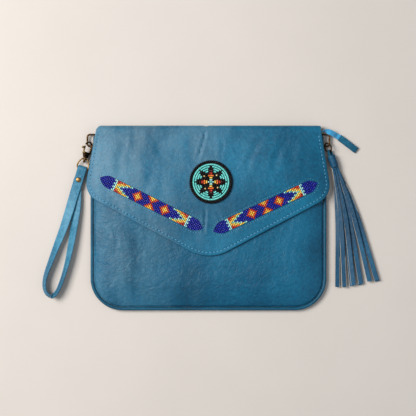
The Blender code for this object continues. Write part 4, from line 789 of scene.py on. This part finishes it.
glass = {}
for shade, *look in (
        ("cobalt", "0a0f78", "1a23a6", 0.24, 0.18), ("black", "050303", "180b0a", 0.3, 0.08),
        ("turquoise", "4cc0b8", "7fe0d8"), ("red", "9a140a", "cf2c10"), ("wine", "2c0806", "58120b"),
        ("orange", "d9540f", "f4862a"), ("yellow", "eeb22c", "fbdc62"), ("green", "58b48c", "a6dcae"),
        ("white", "8ad6d2", "c2ede6"), ("cream", "c9a25c", "ecd08e")):
    glass[shade] = bead_glass(shade + "_beads", *look)
shades = list(glass)


def bead(width, length):
    """Rounded barrel with its hole along X."""
    shape = bmesh.new()
    r, h = width / 2, length / 2
    half = [(0.34 * r, 0.80 * h), (0.70 * r, h), (0.97 * r, 0.5 * h)]
    ring = [shape.verts.new((x, 0.0, y)) for y, x in half + [(y, -x) for y, x in reversed(half)]]
    edges = [shape.edges.new(pair) for pair in zip(ring, ring[1:] + ring[:1])]
    bmesh.ops.spin(shape, geom=ring + edges, cent=(0, 0, 0), axis=(1, 0, 0), angle=2 * math.pi, steps=8,
                   use_merge=True)
    bmesh.ops.remove_doubles(shape, verts=shape.verts[:], dist=1e-5)
    return outward(shape)


def band_colour(i, j):
    """Colour of the bead in column i and row j: bars, chevrons, two diamonds and an hourglass on cobalt."""
    if i > 24:
        i = 48 - i
    row = abs(j)
    if i == 0 or (i == -1 and row % 2):
        return "white"
    if i < 0:
        return "cobalt"
    point = i - 7.0 / 3.0 * row
    if point <= 3.2:
        for limit, shade in ((2.2, "white"), (1.2, "green"), (-1.8, "yellow"), (-3.2, "orange")):
            if point > limit:
                return shade
        return "red"
    away = abs(i - 15) + row if i < 20 else 24 - i + 3 - row
    return ("yellow", "yellow", "orange", "red")[away] if away <= 3 else "cobalt"


COLUMN_PITCH, ROW_PITCH, MIDDLE_COLUMN = 1.96, 2.0, 24
SIDES = (-1, "left"), (1, "right")
for sign, label in SIDES:
    place = band_place(sign)
    spots = []
    for i in range(-10, 59):
        for j in range(-3, 4):
            u, v = (i - MIDDLE_COLUMN) * COLUMN_PITCH, j * ROW_PITCH
            over = clamp((abs(u) - (BAND_REACH - BAND_TIP)) / BAND_TIP)
            if abs(v) > BAND_HALF * (1.0 - over ** BAND_BLUNT) + 0.1 + 0.9 * smooth(over * 3.0):
                continue
            jitter = Vector((uneven(i * 3.1, j * 5.7, sign), uneven(i * 4.3, j * 2.9, 5.0 + sign), 0)) * 0.08
            at = place @ (Vector((u, v, 0.0)) + jitter)
            at.z = flap_lower(at.x, at.y) + 0.32 + 0.08 * jitter.x
            turn = place.to_3x3().to_4x4() @ Matrix.Rotation(math.pi / 2, 4, "Z")
            shade = band_colour(i if sign < 0 else 2 * MIDDLE_COLUMN - i, j)
            spots.append((Matrix.Translation(at) @ turn, shades.index(shade)))
    names = [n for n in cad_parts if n.startswith("band_" + label)]
    scattered("bead_band_" + label, bead(1.62, 1.94), spots, glass.values(), "flap", names)

# Medallion: larger beads of the same glass, sewn down in rings on a stiff felt
# backing, with an eight-pointed star and a whip-stitched rim. It is sewn to the flap.

CENTRE, RING, RIM, RIM_COLUMNS = Vector((2.9, 42.5)), 2.58, 22.8, 62


def star_colour(reach, angle):
    """Colour of a bead by its place: a dark eight-pointed star with four glowing petals, on turquoise."""
    turn = (angle + math.pi / 8) % (math.pi / 4) - math.pi / 8
    along, side = reach * math.cos(turn), reach * math.sin(turn)
    beside = abs(side)
    major = round(angle / (math.pi / 4)) % 2 == 0
    if reach < 4.0:
        return "turquoise" if reach < 1.0 else "white" if major and beside < 0.9 else "black"
    if major:
        petal = 1.3 if reach < 6.5 else 2.4 if reach < 9.0 else 2.2 if reach < 11.0 else 1.3
        if beside <= petal and reach < 14.0:
            return "yellow" if reach < 6.5 else "orange" if reach < 9.0 else "red" if reach < 11.0 else "wine"
        half = 1.08 + 3.8 * (18.9 - along) / 9.0
    elif -0.4 < side < 1.2 and 9.0 < along < 11.2:
        return "cream"
    else:
        half = max(1.0, 4.2 * (18.4 - along) / 7.2)
    return "black" if along < 10.6 or beside <= half and reach < 18.9 else "turquoise"


def sewn_down(radius, angle, lift):
    """Point above the flap's leather, by its place round the medallion's centre."""
    x, y = CENTRE.x + radius * math.cos(angle), CENTRE.y + radius * math.sin(angle)
    return Matrix.Translation((x, y, flap_lower(x, y) + LEATHER + lift))


spots = []
for ring in range(9):
    count = max(1, round(2 * math.pi * ring * RING / 1.62 / 2) * 2)
    for k in range(count):
        angle = 2 * math.pi * (k + 0.5 * (ring % 2 == 0)) / count
        radius = ring * RING + 0.06 * uneven(k, ring, 2.0)
        place = sewn_down(radius, angle, 1.45 + 0.10 * uneven(k * 1.7, ring * 2.3, 8.0))
        place = place @ Matrix.Rotation(angle + math.pi / 2, 4, "Z")
        spots.append((place, shades.index(star_colour(radius, angle))))
fields = ("medallion_field", "star_black", "star_red", "star_orange", "star_yellow", "star_middle")
scattered("medallion_beads", bead(2.15, 1.52), spots, glass.values(), "flap", fields)
spots = []
for k in range(RIM_COLUMNS):
    for j in range(4):
        over = -0.9 + 0.75 * j
        slant = 2 * math.pi * k / RIM_COLUMNS - 0.035 * (j - 1.5)
        radius = RIM + 1.1 + 0.95 * math.sin(over) + 0.12 * uneven(k * 2.3, j, 6.0)
        turn = Matrix.Rotation(slant - 0.3, 4, "Z") @ Matrix.Rotation(over, 4, "Y")
        spots.append((sewn_down(radius, slant, 1.2 + 1.25 * math.cos(over)) @ turn, 0))
scattered("medallion_rim", bead(1.75, 1.35), spots, (glass["black"],), "flap", ("medallion_border",))


def soften(shape, offset, segments):
    """Rounds the level edges of a flat shape."""
    rims = [e for e in shape.edges if abs(e.verts[0].co.z - e.verts[1].co.z) < 1e-6]
    bmesh.ops.bevel(shape, geom=rims, offset=offset, segments=segments, profile=0.5, affect="EDGES", material=-1)


felt = cloth("medallion_felt", "0d1418", "1b262c", 0.0007)
shape = bmesh.new()
bmesh.ops.create_cone(shape, cap_ends=True, segments=64, radius1=RIM - 0.2, radius2=RIM - 0.2, depth=0.9)
soften(shape, 0.2, 2)
for vert in shape.verts:
    x, y = vert.co.x + CENTRE.x, vert.co.y + CENTRE.y
    vert.co = (x, y, vert.co.z + flap_lower(x, y) + LEATHER + 0.5)
finished("medallion_felt_disc", shape, (felt,), "flap", ("medallion_backing",), sharp=40)

# Zip: two woven tapes with cast brass teeth along their edges, sewn inside the
# mouth, and closed by a slider whose flat pull lies under the fold.


def brass(name, dark, middle, light, gloss, worn):
    """Plated brass, browned in its hollows and rubbed bright on its edges."""
    finish = Finish(name, Metallic=1.0)
    stain = finish.cloud(0.006, 4.0, 0.65, 0.4)
    scratches = finish.cloud(0.0009, 3.0, 0.7)
    lightened = finish.node("ShaderNodeNewGeometry", output=7).between(0.5, 0.62)
    colour = finish.ramp(stain, (0.3, dye(dark)), (0.52, dye(middle)), (0.75, dye(light)))
    colour = finish.mixed(lightened * worn, colour, dye(light))
    return finish.set(Base_Color=colour, Roughness=stain * 0.25 + scratches * 0.15 + gloss,
                      Normal=finish.bump(scratches, 0.00008, 0.35))


antique = brass("antique_brass", "1d140d", "4c3824", "94744e", 0.22, 0.12)
bright = brass("bright_brass", "4e3a22", "8a6c42", "c4a274", 0.2, 0.15)
tape_cloth = cloth("zip_cloth", "1a7fb6", "49aedb", 0.0008)
for node, finish in (("zip_tape_front", tape_cloth), ("zip_tape_back", tape_cloth), ("zip_bottom_stop", bright),
                     ("zip_slider", antique), ("zip_pull", antique)):
    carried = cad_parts[node]
    carried.data.materials.clear()
    carried.data.materials.append(finish.material)

TEETH, TOOTH_PITCH, TOOTH_SHIFT, ROW_STEP = 108, 2.05, 0.51, 0.45
ZIP_START, ZIP_Z = -111.5, 5.2
tooth = bmesh.new()
bmesh.ops.create_cube(tooth, size=1.0)
bmesh.ops.scale(tooth, vec=(1.25, 1.4, 1.15), verts=tooth.verts[:])
bmesh.ops.bevel(tooth, geom=tooth.edges[:], offset=0.2, segments=1, profile=0.5, affect="EDGES", material=-1)
spots = []
for i in range(TEETH):
    for row in (-1, 1):
        at = (ZIP_START + i * TOOTH_PITCH + row * TOOTH_SHIFT, MOUTH_Y + 0.6, ZIP_Z + row * ROW_STEP)
        spots.append((Matrix.Translation(at), 0))
scattered("zip_teeth", tooth, spots, (bright,), "bag", ("zip_teeth_front", "zip_teeth_back"), 35)

# Zip end: the tape runs on past the pouch and turns over the right ring. Its end
# is caught in a folded tab of leather, stitched along both sides.


def heading(points):
    """Direction of travel at each point of a line."""
    return [(points[min(i + 1, len(points) - 1)] - points[max(i - 1, 0)]).normalized() for i in range(len(points))]


def strap_section(width, thick, groove=0.0):
    """Outline of a leather strip: rounded edges, slightly crowned faces and a groove for each stitch line."""
    half, round_off = width / 2, thick * 0.42
    flat = half - round_off
    face = []
    for share in spaced(-1.0, 1.0, 14):
        a = share * flat
        b = thick / 2 - 0.06 * thick * share ** 2
        b -= groove * math.exp(-((abs(a) - (half - 1.7)) / 0.5) ** 2)
        face.append((a, b))
    edge = arc(flat, 0.0, round_off, 0.47 * thick, math.pi / 2, -math.pi / 2, 6)[1:-1]
    lower = [(-a, -b) for a, b in face]
    return face + edge + lower + [(-a, -b) for a, b in edge]


def swept(points, axes, sections):
    """Closed strip whose section is drawn across each point, its width along that point's axis."""
    count = len(sections[0])
    shape = bmesh.new()
    bmesh.ops.create_grid(shape, x_segments=count, y_segments=len(points) - 1, size=1.0)
    travel = heading(points)
    for vert in shape.verts:
        i = round((vert.co.x + 1.0) / 2.0 * count) % count
        j = round((vert.co.y + 1.0) / 2.0 * (len(points) - 1))
        a, b = sections[j][i]
        axis = (axes[j] - travel[j] * axes[j].dot(travel[j])).normalized()
        vert.co = points[j] + axis * a + travel[j].cross(axis) * b
    bmesh.ops.remove_doubles(shape, verts=shape.verts[:], dist=0.001)
    bmesh.ops.holes_fill(shape, edges=[e for e in shape.edges if e.is_boundary])
    return outward(shape)


def strip(name, points, axes, section, finish, body, stands_for):
    """Piece cut as one strip, with the same section all along."""
    return finished(name, swept(points, axes, [section] * len(points)), (finish,), body, stands_for, sharp=60)


def seam_beside(points, axes, offset, lift, pitch, start=0.0, end=None):
    """Places for stitches along a strip, a set distance from its middle line and above it."""
    travel = heading(points)
    placed, passed, wanted = [], 0.0, start
    for j in range(len(points) - 1):
        length = (points[j + 1] - points[j]).length
        while wanted <= passed + length and (end is None or wanted <= end):
            share = (wanted - passed) / length
            along = travel[j].lerp(travel[j + 1], share).normalized()
            axis = axes[j].lerp(axes[j + 1], share)
            axis = (axis - along * axis.dot(along)).normalized()
            up = along.cross(axis)
            at = points[j].lerp(points[j + 1], share) + axis * offset + up * lift
            placed.append((facing(at, along, axis, up), 0))
            wanted += pitch
        passed += length
    return placed


tail_points = [(126.3, 101.7, 5.2, 0), (133.4, 102.3, 5.2, 0), (138.5, 102.9, 6.7, 0.4), (143.5, 101.7, 7.7, 0.9),
               (148.5, 99.4, 5.6, 1), (151.8, 97.6, 2.9, 1), (154.6, 96.3, 2.0, 1), (162.5, 90.6, 1.9, 1)]
path = smooth_path(tail_points, 10)
points = [p.to_3d() for p in path]
axes = []
for point, along in zip(path, heading(points)):
    sideways = Vector((-along.y, along.x, 0.0)).normalized()
    axes.append((Vector((0, 0, 1)) * (1 - point.w) + sideways * point.w).normalized())
strip("zip_tail_tape", points, axes, strap_section(6.2, 0.5), tape_cloth, "bag", ("zip_tail",))

start, tip = Vector((155.6, 95.6, 0.0)), Vector((176.2, 80.0, 0.0))
along = (tip - start).normalized()
length = (tip - start).length
across = Vector((-along.y, along.x, 0.0))
side_view = [(0.0, 2.98), (6.0, 3.0), (length - 4.0, 2.95), (length - 1.6, 2.75)]
side_view += arc(length - 1.6, 1.7, 1.1, 1.1, math.pi / 2 - 0.3, 0.1 - math.pi / 2, 6)
side_view += [(length - 3.2, 0.62), (6.0, 0.8), (0.0, 0.8)]
tab_points = smooth_path([start + along * u + Vector((0, 0, w)) for u, w in side_view], 3)
tab_axes = [across] * len(tab_points)
strip("zip_end_leather", tab_points, tab_axes, strap_section(7.5, 0.95, 0.12), piping_leather, "bag",
      ("zip_end_tab",))
spots = []
for side in (2.3, -2.3):
    spots += seam_beside(tab_points, tab_axes, side, -0.5, 3.0, 1.5, length - 4)
scattered("end_tab_stitches", stitch(2.2, 0.6), spots, (thread,), "bag")

# Ring tabs and side rings: a strip of leather is folded round each ring's straight
# side and caught in the side seam. The rings are bent from round antiqued wire.

side_leather = leather("side_leather", "08364b", "0c4860", "155b73")
RING_X, RING_Y, RING_Z, RING_HALF = 134.6, 92.0, 4.2, 7
for sign, label in SIDES:
    turn = arc(RING_X, RING_Z, 1.85, 1.85, 2.5, -2.0, 12)
    line = [(125.8, 2.32), (130.6, 2.36), (132.2, 3.6)] + turn + [(131.6, 1.86), (125.8, 1.68)]
    points = smooth_path([Vector((sign * x, RING_Y, z)) for x, z in line], 3)
    axes = [Vector((0, 1, 0))] * len(points)
    strip(label + "_tab_leather", points, axes, strap_section(9.0, 0.58), side_leather, "bag",
          (label + "_ring_tab",))
    outer, low, high = sign * (RING_X + 9), RING_Y - RING_HALF, RING_Y + RING_HALF
    ring = rounded_polygon([(sign * RING_X, low, 1.5), (outer, low, 3.0), (outer, high, 3.0),
                            (sign * RING_X, high, 1.5)], 8)
    round_line(label + "_ring_wire", [(x, y, RING_Z) for x, y in ring], 1.14, antique, label + "_ring",
               (label + "_side_ring",), closed=True)

# Swivel clasp: a cast brass body with a hook that rises from its right shoulder
# and closes round the left ring, and a riveted pin with a ball head.

SWIVEL = Matrix.Translation((-142.6, 84.0, 5.38)) @ Matrix.Rotation(math.radians(-15.494), 4, "Z")
CLASP = SWIVEL @ Matrix.Rotation(math.radians(50.0), 4, "Y")


def plate(outline, half, place, edge):
    """Flat cast plate with softened edges."""
    shape = slab(outline, -half, half)
    soften(shape, edge, 3)
    bmesh.ops.transform(shape, matrix=place, verts=shape.verts[:])
    return outward(shape)


def turned(profile, place):
    """Piece turned on a lathe from an outline of (radius, height)."""
    shape = bmesh.new()
    verts = [shape.verts.new((x, 0.0, z)) for x, z in profile]
    edges = [shape.edges.new(pair) for pair in zip(verts, verts[1:])]
    bmesh.ops.spin(shape, geom=verts + edges, cent=(0, 0, 0), axis=(0, 0, 1), angle=2 * math.pi, steps=32,
                   use_merge=True)
    bmesh.ops.remove_doubles(shape, verts=shape.verts[:], dist=1e-4)
    bmesh.ops.transform(shape, matrix=place, verts=shape.verts[:])
    return outward(shape)


outline = rounded_polygon([(2.4, -13.0, 0.8), (4.64, -6.0, 1.4), (-6.0, -6.0, 1.4), (-2.4, -13.0, 0.8)], 5)
body = plate(outline, 2.0, CLASP, 0.7)
finished("clasp_body", body, (antique,), "clasp", ("clasp_hook",), sharp=50)
HOOK, HOOK_Y, HOOK_END, HOOK_STEPS = 5.4, 0.6, math.radians(160), 24
hook = [(4.2, -8.2), (5.2, -6.2)]
hook += arc(0.0, HOOK_Y, HOOK, HOOK, 0.0, HOOK_END, HOOK_STEPS)
round_line("clasp_hook_wire", [CLASP @ Vector((x, y, 0)) for x, y in hook], 1.1, antique, "clasp",
           radii=[1.2, 1.1] + spaced(1.0, 0.85, HOOK_STEPS))
upright = Matrix.Rotation(math.radians(-90), 4, "X")
profile = [(0.0, 0.5), (1.9, 0.5), (2.2, 0.2), (2.2, -0.05), (1.2, -0.15), (1.2, -3.1)]
profile += arc(0.0, -4.65, 1.8, 1.45, math.pi / 2 - 0.65, -math.pi / 2, 10)
pin = turned(profile, CLASP @ Matrix.Translation((0, -13.0, 0)) @ upright)
finished("clasp_pin", pin, (antique,), "clasp", sharp=50)

# Gate: a sprung brass lever, hinged in the clasp's body, that closes the hook and
# has a thumb knob outside it.

tip_y = HOOK_Y + HOOK * math.sin(HOOK_END) - 1.4
lever = [(-6.2, tip_y - 0.3), (-6.2, -0.6), (-8.4, -0.2), (-8.8, -1.4), (-8.4, -2.6), (-6.2, -2.4), (-6.2, -8.4),
         (-4.2, -8.4), (-4.6, -6.0), (-4.6, tip_y)]
lever = plate(lever, 0.8, CLASP, 0.22)
finished("clasp_gate_lever", lever, (bright,), "gate", ("clasp_gate",), sharp=40)
KNOB = 1.5
profile = [(0.0, -KNOB)] + arc(0.0, 0.0, KNOB, KNOB, -1.3, 1.3, 8) + [(0.0, KNOB)]
knob = turned(profile, CLASP @ Matrix.Translation((-8.3, -1.4, 0.0)))
finished("clasp_knob", knob, (bright,), "gate", sharp=60)

# Strap loop: bright brass wire bent into a loop for the strap, which turns on the
# clasp's pin with a turned boss round it.

LOOP_TOP, BAR_Y, LOOP_HALF = -14.6, -26.3, 6.7
right = [(2.25, LOOP_TOP, 0.0), (3.3, LOOP_TOP, 1.5), (LOOP_HALF, LOOP_TOP - 6, 2.0), (LOOP_HALF, BAR_Y, 2.0)]
line = rounded_polygon(right + [(-x, y, radius) for x, y, radius in reversed(right)], 6)
round_line("clasp_loop_wire", [SWIVEL @ Vector((x, y, 0)) for x, y in line], 0.9, bright, "loop", ("clasp_loop",))
profile = [(1.45, 0.0), (2.3, 0.0), (2.5, 0.3), (2.5, 2.3), (2.3, 2.6), (1.45, 2.6), (1.45, 0.0)]
boss = turned(profile, SWIVEL @ Matrix.Translation((0, -15.9, 0)) @ upright)
finished("clasp_boss", boss, (antique,), "loop", sharp=40)

# Wrist strap: one strip of the leather, stitched along both edges. It is folded
# round the loop's bar, twists at its lower bend, and is closed by a rivet.

strap_leather = leather("strap_leather", "1c4f69", "2d6b87", "4c89a3")
BAR = SWIVEL @ Vector((0.0, BAR_Y, 0.0))
lean = math.radians(-17.494)
STRAP_WAY = Vector((math.sin(lean), -math.cos(lean), 0.0))
TAIL_Z, BACK_Z, FRONT_Z = 2.4, 4.5, 6.6
BEND = 0.9 + 0.45 + 0.9


def along_strap(distance, z):
    point = BAR + STRAP_WAY * distance
    return Vector((point.x, point.y, z))


places = [(19.5, TAIL_Z), (14, TAIL_Z), (6, mix(TAIL_Z, BAR.z - BEND, 0.6)), (2, BAR.z - BEND)]
places += arc(0.0, BAR.z, -BEND, BEND, -math.pi / 2, math.pi / 2, 8)
places += [(3, BAR.z + BEND), (7, mix(FRONT_Z, BAR.z + BEND, 0.3)), (14, FRONT_Z), (20, FRONT_Z)]
points = smooth_path([along_strap(*place) for place in places], 3)
axes = [Vector((-STRAP_WAY.y, STRAP_WAY.x, 0.0))] * len(points)
legs = [
    (-160.9, 22.6, 6.3, 8), (-166.6, 3.6, 6.0, 18), (-173.1, -15.5, 5.9, 30), (-179.8, -32.5, 6, 42),
    (-186.4, -50, 6, 52), (-192.6, -67, 6, 60), (-194.6, -80, 6, 64), (-192, -89.2, 6, 66),
    (-186.6, -92.4, 6, 66), (-181, -89.4, 6, 66), (-175.6, -79, 6, 64), (-170, -62, 6, 60),
    (-165.4, -44, 6, 52), (-161.6, -24, 5.6, 40), (-158.6, -4, 5, 28), (-156.6, 13, 4.4, 16)]
line = [(*along_strap(20, FRONT_Z), 0)] + legs + [(*along_strap(20, BACK_Z), 0), (*along_strap(10.4, BACK_Z), 0)]
curve = smooth_path(line, 9)[1:]
flat = [p.to_3d() for p in curve]
for point, roll, along in zip(flat, [math.radians(p.w) for p in curve], heading(flat)):
    across = Vector((-along.y, along.x, 0.0)).normalized()
    across = across if across.x > 0 else -across
    points.append(point)
    axes.append(across * math.cos(roll) + Vector((0, 0, math.sin(roll))))
sections = []
for j in range(len(points)):
    swollen = 1.0 + 0.04 * uneven(j / 9.0, 1.0, 5.0)
    sections.append([(a * swollen, b * (2 - swollen)) for a, b in strap_section(10.9, 1.75, 0.14)])
finished("wrist_strap_leather", swept(points, axes, sections), (strap_leather,), "wristlet", ("wrist_strap",),
         sharp=60)
spots = []
for offset in (-3.75, 3.75):
    for lift in (0.82, -0.82):
        spots += seam_beside(points, axes, offset, lift, 3.6, 2.0)
scattered("strap_stitches", stitch(2.6, 0.5), spots, (thread,), "wristlet")

# Rivet: a domed brass cap on a post that is driven through the strap's three
# layers and closed by a flat head below.

low, high, cap_low, head = TAIL_Z - 1.2, FRONT_Z + 1.2, FRONT_Z + 1.32, 3.0
profile = [(0.0, low - 0.9), (2.4, low - 0.9), (2.9, low - 0.5), (head, low), (1.2, low), (1.2, high), (head, high),
           (head, cap_low)]
profile += arc(0.0, cap_low, head, 0.85, 0.15, math.pi / 2, 10)
profile[-1] = (0.0, profile[-1][1])
rivet = turned(profile, Matrix.Translation(along_strap(14, 0.0)))
finished("strap_rivet_cap", rivet, (bright,), "wristlet", ("strap_rivet",), sharp=50)

# Tassel link and thong: an oval brass link is closed round the right ring, and a
# short leather thong is looped through it to hold the tassel.

LINK = (Matrix.Translation((141.9, 83.5, 4.4)) @ Matrix.Rotation(math.radians(19.988), 4, "Z")
        @ Matrix.Rotation(math.radians(-45.0), 4, "Y"))
oval = [LINK @ Vector((x, y, 0)) for x, y in arc(0.0, 0.0, 4.6, 5.6, 0.0, 2 * math.pi, 40)[:-1]]
round_line("tassel_link_wire", oval, 0.88, antique, "link", ("tassel_link",), closed=True)
bend = 1.0 + 0.75 + 0.6
ends = (-13.0, -9.4, -6.6)
local = [(y, -bend) for y in ends]
local += arc(-5.6, 0.0, bend, bend, -math.pi / 2, math.pi / 2, 10)
local += [(y, bend) for y in reversed(ends)]
points = [LINK @ Vector((0.0, y, z)) for y, z in local]
CAP_TOP, CAP_Z = LINK @ Vector((0.0, -10.0, 0.0)), 5.3
for i in (0, 1, -2, -1):
    points[i].z += CAP_Z - CAP_TOP.z
points = smooth_path(points, 3)
axes = [LINK.to_3x3() @ Vector((1, 0, 0))] * len(points)
strip("tassel_thong_leather", points, axes, strap_section(3.4, 1.15), side_leather, "tassel", ("tassel_thong",))

# Tassel cap: a leather band wound tightly round the top of the fringe and glued
# down, its cut end showing as a step.

TASSEL_WAY = (LINK.to_3x3() @ Vector((0, -1, 0))).normalized()
flat_x = TASSEL_WAY.cross(Vector((0, 0, 1))).normalized()
cap_middle = Vector((CAP_TOP.x, CAP_TOP.y, CAP_Z)) + TASSEL_WAY * 7.0
START, WOUND = 0.9, 2 * math.pi + 1.0
points = []
for angle in spaced(START, START + WOUND, 60):
    radius = mix(3.95, 4.62, (angle - START) / WOUND)
    points.append(cap_middle + flat_x * (radius * math.cos(angle)) + Vector((0, 0, radius * math.sin(angle))))
axes = [TASSEL_WAY] * len(points)
fringe_leather = leather("fringe_leather", "0d3751", "124664", "1a5878")
strip("tassel_cap_leather", points, axes, strap_section(14.0, 0.72), fringe_leather, "tassel", ("tassel_cap",))

# Fringe: one strip of soft leather, cut into long strands and rolled up under the
# cap. The strands' cut edges are pale and raw.

raw_edge = Finish("raw_leather_edge", Roughness=0.9, Sheen_Weight=0.3)
fibres = raw_edge.cloud(0.0007, 3.0)
raw_edge.set(Base_Color=raw_edge.ramp(fibres, (0.3, dye("8d8b82")), (0.7, dye("c9c3b6"))),
             Normal=raw_edge.bump(fibres, 0.0002, 0.6))
roll = bmesh.new()
place = facing(cap_middle + TASSEL_WAY * 1.6, flat_x, Vector((0, 0, 1)), TASSEL_WAY)
bmesh.ops.create_cone(roll, cap_ends=True, segments=32, radius1=3.5, radius2=3.5, depth=10.0, matrix=place)
finished("fringe_roll", roll, (fringe_leather,), "tassel", ("tassel_fringe",), sharp=40)
LAYERS = ((160.6, 180.3, 200.5), (152.9, 170.2, 181.0, 200.0), (161.2, 172.0, 191.0))


def strand_line(share, layer, end_x):
    """Middle line of one strand, from under the cap to its end on the table."""
    root = CAP_TOP + TASSEL_WAY * 12.0
    beside = Vector((-TASSEL_WAY.y, TASSEL_WAY.x, 0.0))
    root = Vector((root.x, root.y, 0.0)) + beside * ((share - 0.55) * 8.0)
    end = Vector((end_x, -82.0 + 10.0 * share ** 2, 0.0))
    fan = (end - root).normalized()
    first = root + TASSEL_WAY * 9.0 * (1 - 0.6 * share) + fan * 6.0
    middle = root.lerp(end, 0.45) + Vector((1.0, 0.25, 0.0)) * mix(4.0, 2.5, share)
    line = smooth_path([root, first, middle, end], 14)
    low, high = 1.85 + layer * 1.4, CAP_Z + (layer - 1) * 1.7
    for i, point in enumerate(line):
        point.z = mix(high, low, smooth(i / 23.0))
    return line


for layer, ends in enumerate(LAYERS):
    lines = [strand_line((i + 0.5) / len(ends), layer, end_x) for i, end_x in enumerate(ends)]
    for number, line in enumerate(lines):
        other = lines[1] if number == 0 else lines[number - 1]
        seed = 10.0 * layer + number
        axes, sections = [], []
        for j, (point, along) in enumerate(zip(line, heading(line))):
            width = min(5.8, (point - other[j]).to_2d().length * 0.98)
            half = width * (1.0 + 0.05 * uneven(j / 5.0, seed, 3.0)) / 2
            tilt = 0.30 + 0.45 * uneven(j / 16.0, seed, 9.0)
            across = Vector((-along.y, along.x, 0.0)).normalized()
            axes.append(across * math.cos(tilt) + Vector((0, 0, math.sin(tilt))))
            upper = [(-half, 0.0), (0.5 - half, 0.54), (0.0, 0.5), (half - 0.5, 0.54)]
            sections.append(upper + [(-a, -b) for a, b in upper])
        shape = swept(line, axes, sections)
        for face in shape.faces:
            if abs(face.normal.z) < 0.8:
                face.material_index = 1
        finished("fringe_strand_%d" % (10 * layer + number), shape, (fringe_leather, raw_edge), "tassel",
                 sharp=35)
